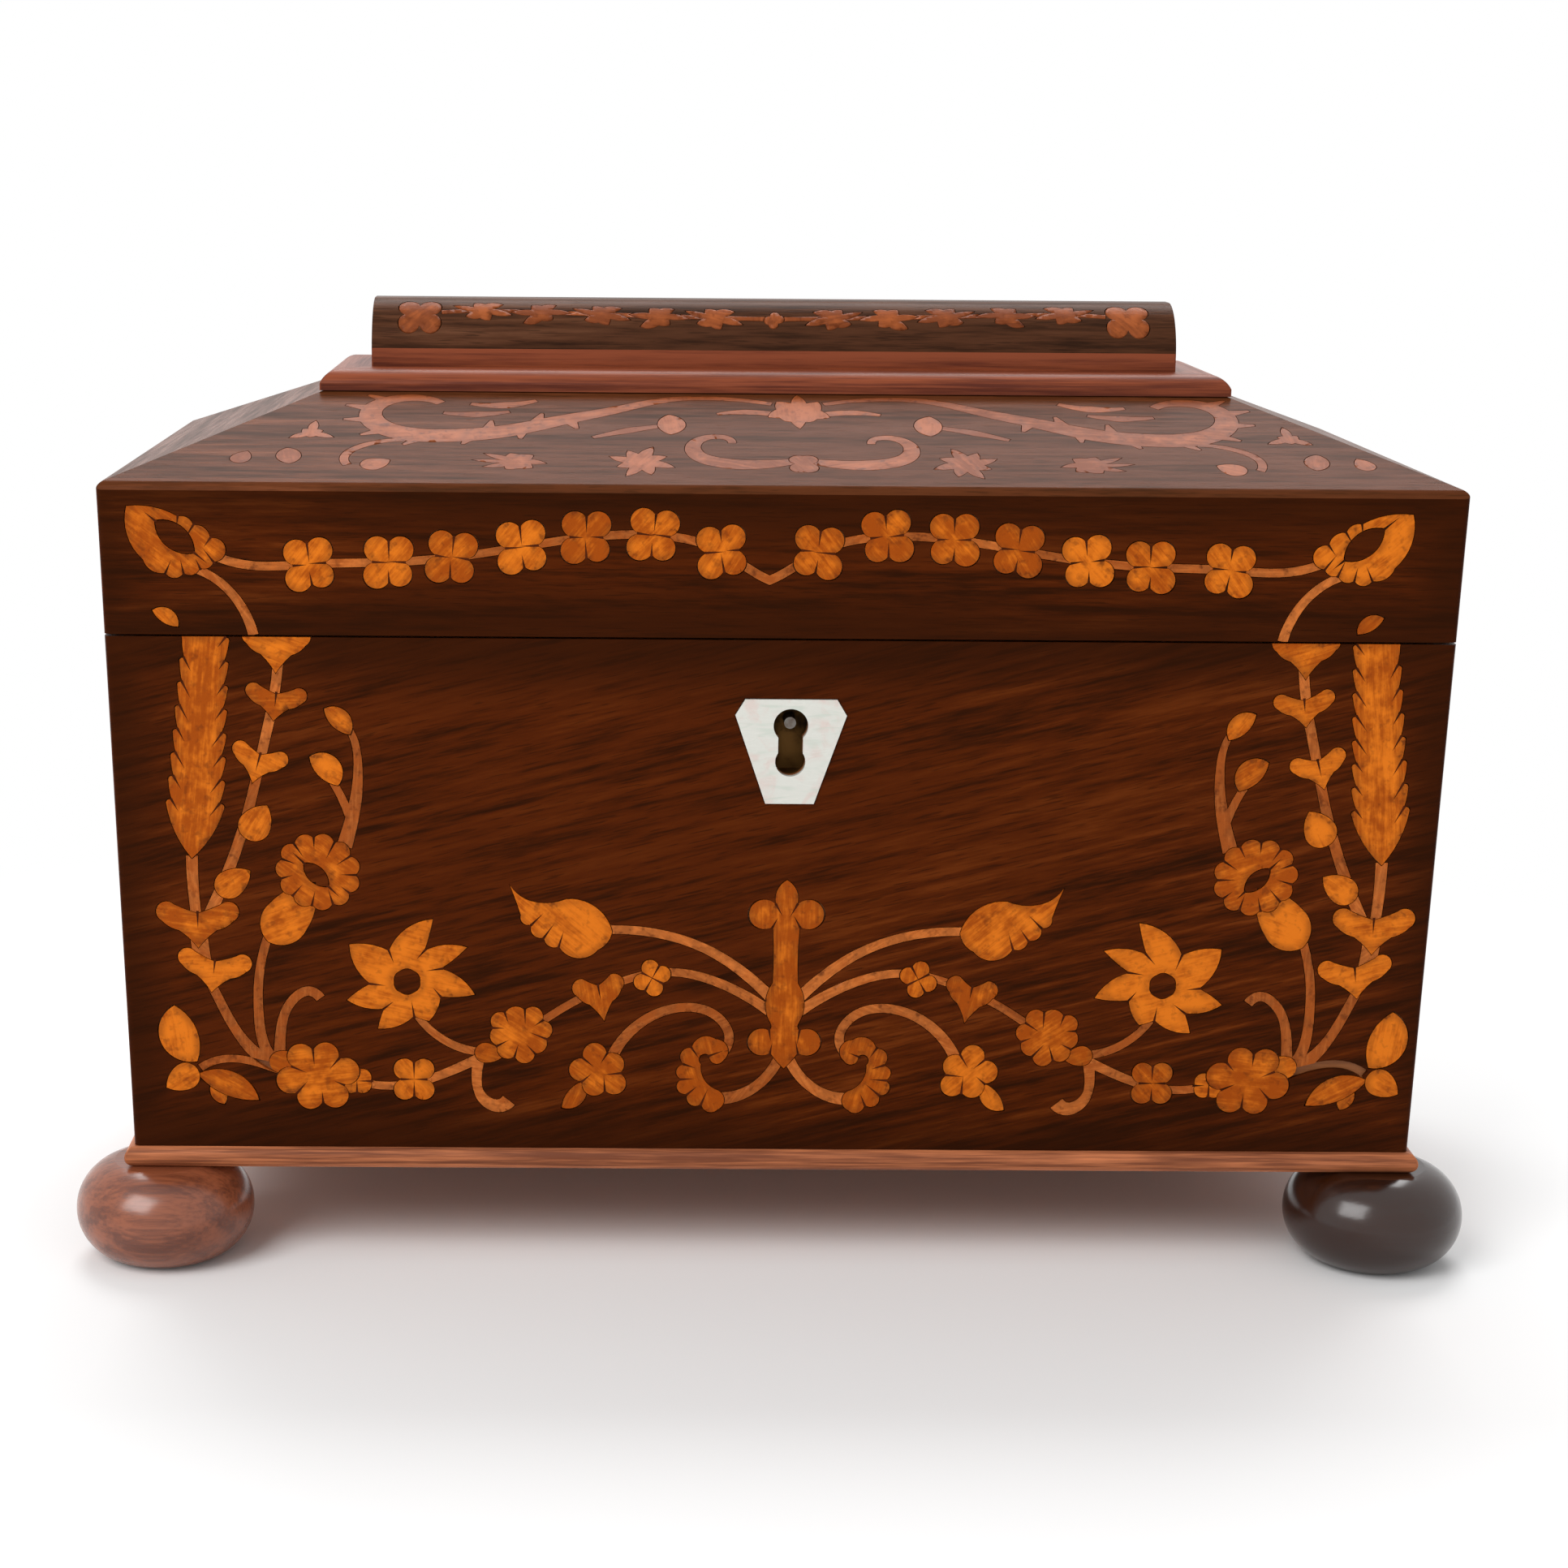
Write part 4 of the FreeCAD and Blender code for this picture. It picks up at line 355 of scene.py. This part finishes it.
def inlay_wood(name, pale, deep):
    """Boxwood and satinwood, its grain along each piece, scorched towards the outline."""
    woods = bpy.context.scene.box_woods
    finish = Finish(name)
    grain_place = finish.attribute("grain_place", "Vector")
    reach = finish.attribute("edge_reach")
    tone = finish.attribute("piece_tone")
    fibres = finish.grain(grain_place, INLAY_FIBRE_SCALE, detail=3, rough=0.6, distortion=0.3)
    cloud = finish.noise(grain_place, INLAY_CLOUD_SCALE, detail=3, rough=0.6)
    blotch = finish.noise(grain_place, INLAY_BLOTCH_SCALE, rough=0.6)
    figure = fibres * 0.4 + cloud * 0.6 + (tone - 0.5) * 0.2
    base = finish.mixed(figure.band(0.36, 0.64), deep, pale)
    burnt = reach.band(SCORCH_START, SCORCH_END, 1, 0) * cloud.band(0.4, 0.6, 0.0, 0.8)
    base = finish.mixed(burnt * 0.6 + blotch.band(0.54, 0.72, 0.0, 0.35), base, woods.scorch)
    return finish.surface(
        Base_Color=base, Roughness=figure.band(0.3, 0.7, 0.4, 0.28), Specular_IOR_Level=INLAY_SHINE,
        Normal=finish.bump(fibres, 0.2, INLAY_GRAIN_DEPTH))


def striped_wood(name, dark, light, turn, polish, scale=1.0, mitre=None):
    """A plain wood with long dark streaks along X after a turn; past a mitre they run along the depth."""
    smoothest, roughest, shine = polish
    finish = Finish(name)
    place = finish.place()
    along = finish.turned(place, turn)
    if mitre:
        across, depth, _ = finish.axes(place)
        past = (abs(across) - abs(depth)).band(mitre - MITRE_WIDTH, mitre + MITRE_WIDTH)
        along = finish.mixed(past, along, finish.turned(place, ALONG_DEPTH))
    streaks = finish.grain(along, PLAIN_STREAK_SCALE * scale, detail=4, rough=0.6, distortion=0.4)
    fibres = finish.grain(along, PLAIN_FIBRE_SCALE * scale, detail=3, rough=0.6)
    figure = streaks * 0.6 + fibres * 0.4
    base = finish.mixed(figure.band(0.36, 0.6), dark, light)
    return finish.surface(
        Base_Color=base, Roughness=figure.band(0.3, 0.7, roughest, smoothest), Specular_IOR_Level=shine,
        Normal=finish.bump(fibres, 0.25, WOOD_GRAIN_DEPTH))


# Pearl, metal and paper

PEARL_CLOUD_SCALE = 190
PEARL_BAND_SCALE = (150, 700, 700)
PEARL_BAND_TURN = (0, 0.5, 0)
PEARL_BAND_DEPTH = 0.05 * MILLIMETRE
PEARL_COAT = 0.4
METAL_CLOUD_SCALE = 140
SCRATCH_SCALE = (180, 4200, 4200)
SCRATCH_TURN = (0, 0.4, 0)
SCRATCH_DEPTH = 0.03 * MILLIMETRE
BRASS_ROUGHNESS = 0.28
KEYHOLE_SHADE_BRASS_ROUGHNESS = 0.5
STEEL_ROUGHNESS = 0.4
TARNISH_ROUGHNESS = 0.22
PAPER_WEAR_SCALE = 28
PAPER_FIBRE_SCALE = 1600
PAPER_FIBRE_DEPTH = 0.08 * MILLIMETRE
PAPER_SHINE = 0.2


def pearl_shell():
    """Mother-of-pearl with rosy clouds and greenish bands."""
    fittings = bpy.context.scene.box_fittings
    finish = Finish("pearl_shell")
    place = finish.place()
    cloud = finish.noise(place, PEARL_CLOUD_SCALE, detail=3, rough=0.55, distortion=1.2)
    bands = finish.grain(place, PEARL_BAND_SCALE, PEARL_BAND_TURN, distortion=0.8)
    base = finish.mixed(cloud.band(0.45, 0.7), fittings.pearl, fittings.pearl_rose)
    base = finish.mixed(bands.band(0.52, 0.72) * 0.6, base, fittings.pearl_green)
    return finish.surface(
        Base_Color=base, Roughness=bands.band(0.3, 0.7, 0.3, 0.18), Coat_Weight=PEARL_COAT,
        Normal=finish.bump(bands, 0.12, PEARL_BAND_DEPTH))


def metal(name, clean, dull, rough):
    """Scratched metal that is duller and rougher in clouds."""
    finish = Finish(name)
    place = finish.place()
    cloud = finish.noise(place, METAL_CLOUD_SCALE, detail=4, rough=0.62)
    scratch = finish.grain(place, SCRATCH_SCALE, SCRATCH_TURN)
    base = finish.mixed(cloud.band(0.42, 0.68), clean, dull)
    return finish.surface(
        Base_Color=base, Metallic=cloud.band(0.5, 0.75, 1, 0.8),
        Roughness=cloud.band(0.3, 0.7, rough, rough + TARNISH_ROUGHNESS),
        Normal=finish.bump(scratch, 0.12, SCRATCH_DEPTH))


def lining_paper():
    """Red lining paper, faded in patches."""
    fittings = bpy.context.scene.box_fittings
    finish = Finish("lining_paper")
    place = finish.place()
    wear_and_lit_base = finish.noise(place, PAPER_WEAR_SCALE, detail=4, rough=0.65)
    fibre = finish.noise(place, PAPER_FIBRE_SCALE, detail=3, rough=0.6)
    base = finish.mixed(wear_and_lit_base.band(0.48, 0.74), fittings.paper, fittings.paper_worn)
    base = finish.mixed(fibre.band(0.5, 0.75) * 0.25, base, fittings.paper_worn)
    return finish.surface(
        Base_Color=base, Roughness=wear_and_lit_base.band(0.3, 0.7, 0.92, 0.8), Specular_IOR_Level=PAPER_SHINE,
        Normal=finish.bump(fibre, 0.3, PAPER_FIBRE_DEPTH))


# Pieces

def body_of_node(name):
    for body, members in frame["record"]["behaviour"]["bodies"].items():
        if name in members:
            return body
    raise ValueError(f"no body holds {name}")


def finished(shape, name, body, slot, material, *nodes):
    """Make a piece from a bmesh, riding a body and standing for nodes."""
    mesh = bpy.data.meshes.new(name)
    shape.to_mesh(mesh)
    shape.free()
    piece = bpy.data.objects.new(name, mesh)
    bpy.context.scene.collection.objects.link(piece)
    mesh.materials.append(material)
    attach(piece, body)
    if nodes:
        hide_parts(*nodes)


def joined_copy(node):
    """A node's mesh as a bmesh with its loose triangles joined."""
    shape = bmesh.new()
    shape.from_mesh(frame["nodes"][node].data)
    bmesh.ops.remove_doubles(shape, verts=shape.verts, dist=MERGE_DISTANCE)
    return shape


def dress(material, *names):
    """Give nodes whose shape is right their finish."""
    for name in names:
        materials = frame["nodes"][name].data.materials
        materials.clear()
        materials.append(material)


class BOX_OT_veneers(bpy.types.Operator):
    """Rosewood veneers of the case and the lid"""
    bl_idname = "box.veneers"
    bl_label = "Rosewood veneers"

    def execute(self, context):
        woods = bpy.context.scene.box_woods
        fresh = (woods.rosewood_dark, woods.rosewood_mid, woods.rosewood_light)
        # Painted sheen: the slopes and their ends get a lighter copy of the rosewood, and the crown a greyer
        # one.
        sheen_tinted = (woods.sheen_tinted_dark, woods.sheen_tinted_mid, woods.sheen_tinted_light)
        crown = (woods.crown_dark, woods.crown_mid, woods.crown_light)
        for name, turn in (("front_veneer", RISING), ("back_veneer", ALONG_LENGTH),
                           ("lid_front_veneer", ALONG_LENGTH), ("lid_back_veneer", ALONG_LENGTH)):
            low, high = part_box(name)
            dress(rosewood("rosewood_" + name, turn, fresh, (low, high, woods.rim_reach)), name)
        dress(rosewood("rosewood_sides", ALONG_DEPTH, fresh), "end_veneers", "lid_end_veneers")
        dress(rosewood("rosewood_sheen_tinted_sides", ALONG_DEPTH, sheen_tinted), "end_slope_veneers")
        slopes = rosewood("rosewood_sheen_tinted_slopes", ALONG_LENGTH, sheen_tinted)
        dress(slopes, "front_slope_veneer", "back_slope_veneer")
        dress(rosewood("rosewood_crown", ALONG_LENGTH, crown), "crown_veneer")
        dress(rosewood("rosewood_crown_ends", ALONG_DEPTH, crown), "crown_end_veneers")
        return {"FINISHED"}


class BOX_OT_inlay(bpy.types.Operator):
    """Flowers, leaves and stems of the marquetry"""
    bl_idname = "box.inlay"
    bl_label = "Marquetry inlay"

    def execute(self, context):
        woods = bpy.context.scene.box_woods
        flowers = inlay_wood("inlay_flowers", woods.inlay_pale, woods.inlay_deep)
        stems = inlay_wood("inlay_stems", woods.stem_pale, woods.stem_deep)
        lines = striped_wood("saw_line_dust", woods.rosewood_dark, woods.scorch, ALONG_LENGTH, DUST_POLISH)
        # Painted sheen: the slopes and the crown get a paler, rosier copy of the inlay.
        rosy = inlay_wood("inlay_sheen_tinted", woods.rosy_pale, woods.rosy_deep)
        fresh = (flowers, stems)
        sheen_tinted = (rosy, rosy)
        panels = {"front": fresh, "lid": fresh, "slope": sheen_tinted, "crown": sheen_tinted}
        for panel, (flower_wood, stem_wood) in panels.items():
            lay_inlay(f"{panel}_inlay_flowers", f"{panel}_flowers", "inlay_wood", flower_wood)
            lay_inlay(f"{panel}_inlay_stems", f"{panel}_stems", "stem_wood", stem_wood)
        for panel in ("front", "lid"):
            saw_lines(f"{panel}_inlay_flowers", f"{panel}_saw_lines", "inlay_wood", lines)
        return {"FINISHED"}


GRID_PITCH = 1.2 * MILLIMETRE
RIM_STEP = 0.2 * MILLIMETRE
SHARP_EDGE = math.radians(50)
NOTCH_ANGLE = math.radians(35)
SHORTEST_LINE_SHARE = 0.5


def islands_of(shape):
    """The connected pieces of a mesh, each as a list of its points."""
    seen = set()
    islands = []
    for start in shape.verts:
        if start in seen:
            continue
        island = [start]
        seen.add(start)
        for vert in island:
            for edge in vert.link_edges:
                other = edge.other_vert(vert)
                if other not in seen:
                    seen.add(other)
                    island.append(other)
        islands.append(island)
    return islands


def panel_normal(shape):
    """Outward direction of a panel: that of its largest face that looks to the front."""
    facing = [face for face in shape.faces if face.normal.y < 0]
    return max(facing, key=lambda face: face.calc_area()).normal.copy()


def gridded(shape, normal):
    """Cut every piece on a fine grid, so that values kept on its points can change across it."""
    across = Vector((1, 0, 0))
    for direction in (across, normal.cross(across)):
        for island in islands_of(shape):
            parts = set(island)
            for vert in island:
                parts.update(vert.link_edges)
                parts.update(vert.link_faces)
            reaches = [vert.co.dot(direction) for vert in island]
            for cut in range(math.ceil(min(reaches) / GRID_PITCH), math.ceil(max(reaches) / GRID_PITCH)):
                made = bmesh.ops.bisect_plane(
                    shape, geom=list(parts), plane_co=direction * (cut * GRID_PITCH), plane_no=direction,
                    dist=CUT_DISTANCE)
                parts = set(made["geom"])


def rim_points(shape):
    """Points set closely along the sharp edges of the pieces."""
    points = []
    for edge in shape.edges:
        if len(edge.link_faces) == 2 and edge.calc_face_angle() > SHARP_EDGE:
            first, second = edge.verts
            steps = max(1, int(edge.calc_length() / RIM_STEP))
            points += [first.co.lerp(second.co, step / steps) for step in range(steps + 1)]
    return points


def lay_inlay(node, name, slot, material):
    """Inlay of one panel, with its grain along each piece."""
    shape = joined_copy(node)
    normal = panel_normal(shape)
    rims = rim_points(shape)
    tree = kdtree.KDTree(len(rims))
    for index, point in enumerate(rims):
        tree.insert(point, index)
    tree.balance()
    gridded(shape, normal)
    grain = shape.verts.layers.float_vector.new("grain_place")
    reach = shape.verts.layers.float.new("edge_reach")
    tone = shape.verts.layers.float.new("piece_tone")
    draw = random.Random(node)
    for island in islands_of(shape):
        centre = sum((vert.co for vert in island), Vector()) / len(island)
        level = draw.random()
        widest = max(island, key=lambda vert: (vert.co - centre).length)
        axis = (widest.co - centre).normalized()
        other_axis = normal.cross(axis).normalized()
        for vert in island:
            offset = vert.co - centre
            vert[grain] = Vector((offset.dot(axis) + level, offset.dot(other_axis) + level, level))
            vert[reach] = tree.find(vert.co)[2]
            vert[tone] = level
    finished(shape, name, body_of_node(node), slot, material, node)


def saw_lines(node, name, slot, material):
    """Thin tapered lines that run from the notches of the outlines into the pieces."""
    woods = bpy.context.scene.box_woods
    shape = joined_copy(node)
    normal = panel_normal(shape)
    draw = random.Random(node + "_lines")
    lines = bmesh.new()
    for edge in shape.edges:
        if len(edge.link_faces) != 2 or edge.is_convex or edge.calc_face_angle() < NOTCH_ANGLE:
            continue
        notch = max(edge.verts, key=lambda vert: vert.co.dot(normal)).co
        inward = -(edge.link_faces[0].normal + edge.link_faces[1].normal)
        inward = (inward - normal * inward.dot(normal)).normalized()
        side = normal.cross(inward)
        length = woods.line_length * draw.uniform(SHORTEST_LINE_SHARE, 1)
        base = notch - inward * woods.line_width
        half = side * woods.line_width / 2
        corners = (base - half, base + half, notch + inward * length)
        foot = lines.faces.new([lines.verts.new(corner - normal * woods.line_width) for corner in corners])
        raised = bmesh.ops.extrude_face_region(lines, geom=[foot])["geom"]
        tops = [part for part in raised if isinstance(part, bmesh.types.BMVert)]
        bmesh.ops.translate(lines, verts=tops, vec=normal * (woods.line_width + woods.line_rise))
    shape.free()
    bmesh.ops.recalc_face_normals(lines, faces=lines.faces)
    finished(lines, name, body_of_node(node), slot, material)


class BOX_OT_mouldings(bpy.types.Operator):
    """Base moulding, thumb moulding and plinth board"""
    bl_idname = "box.mouldings"
    bl_label = "Mouldings"

    def execute(self, context):
        woods = bpy.context.scene.box_woods
        wood = striped_wood("moulding_wood_finish", woods.moulding_dark, woods.moulding_light, ALONG_LENGTH,
                            MOULDING_POLISH, mitre=mitre_of("plinth_mouldings"))
        dress(wood, "plinth_mouldings", "plinth_board")
        # Painted light: the base moulding gets a lighter copy of the moulding wood, for the light from the
        # front.
        wear_and_lit_base = striped_wood("base_moulding_finish", woods.base_dark, woods.base_light, ALONG_LENGTH,
                            BASE_POLISH, mitre=mitre_of("base_mouldings"))
        dress(wear_and_lit_base, "base_mouldings")
        return {"FINISHED"}


class BOX_OT_feet(bpy.types.Operator):
    """Turned bun feet"""
    bl_idname = "box.feet"
    bl_label = "Bun feet"

    def execute(self, context):
        woods = bpy.context.scene.box_woods
        red = striped_wood("foot_wood_red", woods.foot_streak, woods.foot_red, ALONG_LENGTH,
                           LEFT_FOOT_POLISH)
        dark = striped_wood("foot_wood_dark", woods.rosewood_dark, woods.foot_dark, ALONG_LENGTH,
                            RIGHT_FOOT_POLISH)
        dress(red, "front_left_foot", "back_left_foot")
        dress(dark, "front_right_foot", "back_right_foot")
        return {"FINISHED"}


class BOX_OT_escutcheon(bpy.types.Operator):
    """Pearl escutcheon"""
    bl_idname = "box.escutcheon"
    bl_label = "Escutcheon"

    def execute(self, context):
        dress(pearl_shell(), "escutcheon")
        return {"FINISHED"}


class BOX_OT_carcase(bpy.types.Operator):
    """Boards of the case and the lid, and their lining"""
    bl_idname = "box.carcase"
    bl_label = "Boards and lining"

    def execute(self, context):
        woods = bpy.context.scene.box_woods
        boards = striped_wood("carcase_boards", woods.carcase_dark, woods.carcase_light, ALONG_LENGTH,
                              BOARD_POLISH, BOARD_SCALE)
        dress(boards, "front_board", "back_board", "bottom_board", "lid_front_wall", "lid_back_wall",
              "front_slope", "back_slope", "lid_top_board", "crown_core")
        ends = striped_wood("carcase_end_boards", woods.carcase_dark, woods.carcase_light, ALONG_DEPTH,
                            BOARD_POLISH, BOARD_SCALE)
        dress(ends, "left_board", "right_board", "lid_left_wall", "lid_right_wall", "left_slope",
              "right_slope")
        dress(lining_paper(), "floor_lining", "wall_lining", "lid_lining")
        return {"FINISHED"}


class BOX_OT_metalwork(bpy.types.Operator):
    """Hinges, lock and screws"""
    bl_idname = "box.metalwork"
    bl_label = "Metalwork"

    def execute(self, context):
        fittings = bpy.context.scene.box_fittings
        brass = metal("aged_brass", fittings.brass, fittings.tarnish, BRASS_ROUGHNESS)
        dress(brass, "hinge_case_leaves", "hinge_lid_leaves", "hinge_case_screws", "hinge_lid_screws",
              "lock_bolt", "link_plate", "lock_screws", "link_screws")
        # Painted shade: the lock case and cap are tarnished brass darkened to near black, which stands in
        # for the shade inside the keyhole.
        keyhole_shade_brass = metal("keyhole_shade_brass", fittings.tarnish, fittings.keyhole_shade, KEYHOLE_SHADE_BRASS_ROUGHNESS)
        dress(keyhole_shade_brass, "lock_case", "lock_cap")
        steel = metal("dull_steel", fittings.steel, fittings.rust, STEEL_ROUGHNESS)
        dress(steel, "hinge_pins", "lock_key_pin", "lock_spring")
        return {"FINISHED"}


SENSOR_WIDTH = 36
KEY_PLACE = (-0.75, -0.95, 1.05)
KEY_AIM = (0, 0, 0.08)
KEY_SIZE = (0.9, 0.9)
BACK_PLACE = (0.05, 0.75, 1.15)
BACK_AIM = (0, -0.05, 0.15)
BACK_SIZE = (1.3, 0.7)


class BOX_OT_stage(bpy.types.Operator):
    """Floor, lights, world and camera"""
    bl_idname = "box.stage"
    bl_label = "Studio"

    def execute(self, context):
        studio = context.scene.box_studio
        self.floor(studio)
        self.world(studio)
        self.lamp("key_light", KEY_PLACE, KEY_AIM, KEY_SIZE, studio.key_power)
        self.lamp("back_light", BACK_PLACE, BACK_AIM, BACK_SIZE, studio.back_power)
        self.camera(studio)
        context.scene.view_settings.view_transform = "Standard"
        return {"FINISHED"}

    def floor(self, studio):
        shape = bmesh.new()
        bmesh.ops.create_grid(shape, x_segments=1, y_segments=1, size=studio.floor_size / 2)
        mesh = bpy.data.meshes.new("floor")
        shape.to_mesh(mesh)
        shape.free()
        floor = bpy.data.objects.new("floor", mesh)
        bpy.context.scene.collection.objects.link(floor)
        finish = Finish("floor_paint")
        diffuse = finish.node("ShaderNodeBsdfDiffuse", inputs={"Color": studio.floor_colour})
        white = finish.node("ShaderNodeEmission", inputs={"Color": (1, 1, 1), "Strength": 1.0})
        distance = finish.node(
            "ShaderNodeVectorMath", {"operation": "LENGTH"}, {0: finish.place()}, "Value")
        far = distance.band(studio.fade_start, studio.fade_end) * finish.seen()
        both = finish.node("ShaderNodeMixShader", inputs={0: far, 1: diffuse, 2: white})
        finish.node("ShaderNodeOutputMaterial", inputs={"Surface": both})
        mesh.materials.append(finish.material)

    def world(self, studio):
        world = bpy.data.worlds.new("studio_world")
        bpy.context.scene.world = world
        world.use_nodes = True
        finish = Finish(world)
        strength = finish.seen() * (1 - studio.room_light) + studio.room_light
        shader = finish.node("ShaderNodeBackground", inputs={"Color": (1, 1, 1), "Strength": strength})
        finish.node("ShaderNodeOutputWorld", inputs={"Surface": shader})

    def lamp(self, name, place, aim, size, power):
        lamp = bpy.data.lights.new(name, "AREA")
        lamp.shape = "RECTANGLE"
        lamp.size, lamp.size_y = size
        lamp.energy = power
        holder = bpy.data.objects.new(name, lamp)
        bpy.context.scene.collection.objects.link(holder)
        holder.location = place
        holder.rotation_euler = (Vector(aim) - Vector(place)).to_track_quat("-Z", "Y").to_euler()

    def camera(self, studio):
        camera = bpy.data.cameras.new("photo_camera")
        camera.sensor_width = SENSOR_WIDTH
        camera.lens = studio.lens
        camera.shift_x = studio.lens_shift
        holder = bpy.data.objects.new("photo_camera", camera)
        bpy.context.scene.collection.objects.link(holder)
        holder.location = studio.camera_place
        level = Matrix.Rotation(-studio.camera_yaw, 3, "Z")
        pitch = Matrix.Rotation(math.pi / 2 - studio.camera_pitch, 3, "X")
        roll = Matrix.Rotation(-studio.camera_roll, 3, "Z")
        holder.rotation_euler = (level @ pitch @ roll).to_euler()
        bpy.context.scene.camera = holder


class BOX_PT_panel(bpy.types.Panel):
    """Buttons for every group of pieces"""
    bl_idname = "BOX_PT_panel"
    bl_label = "Marquetry box"
    bl_space_type = "VIEW_3D"
    bl_region_type = "UI"
    bl_category = "Box"

    def draw(self, context):
        for operator in OPERATORS:
            self.layout.operator(operator.bl_idname)


OPERATORS = (BOX_OT_veneers, BOX_OT_inlay, BOX_OT_mouldings, BOX_OT_feet, BOX_OT_escutcheon,
             BOX_OT_carcase, BOX_OT_metalwork, BOX_OT_stage)
GROUPS = {"box_woods": WoodSettings, "box_fittings": FittingSettings, "box_studio": StudioSettings}


def register():
    for group in GROUPS.values():
        bpy.utils.register_class(group)
    for name, group in GROUPS.items():
        setattr(bpy.types.Scene, name, bpy.props.PointerProperty(type=group))
    for operator in OPERATORS:
        bpy.utils.register_class(operator)
    bpy.utils.register_class(BOX_PT_panel)


def unregister():
    bpy.utils.unregister_class(BOX_PT_panel)
    for operator in reversed(OPERATORS):
        bpy.utils.unregister_class(operator)
    for name in GROUPS:
        delattr(bpy.types.Scene, name)
    for group in reversed(GROUPS.values()):
        bpy.utils.unregister_class(group)


def main():
    register()
    bpy.ops.box.veneers()
    bpy.ops.box.inlay()
    bpy.ops.box.mouldings()
    bpy.ops.box.feet()
    bpy.ops.box.escutcheon()
    bpy.ops.box.carcase()
    bpy.ops.box.metalwork()
    bpy.ops.box.stage()


if __name__ == "__main__":
    main()
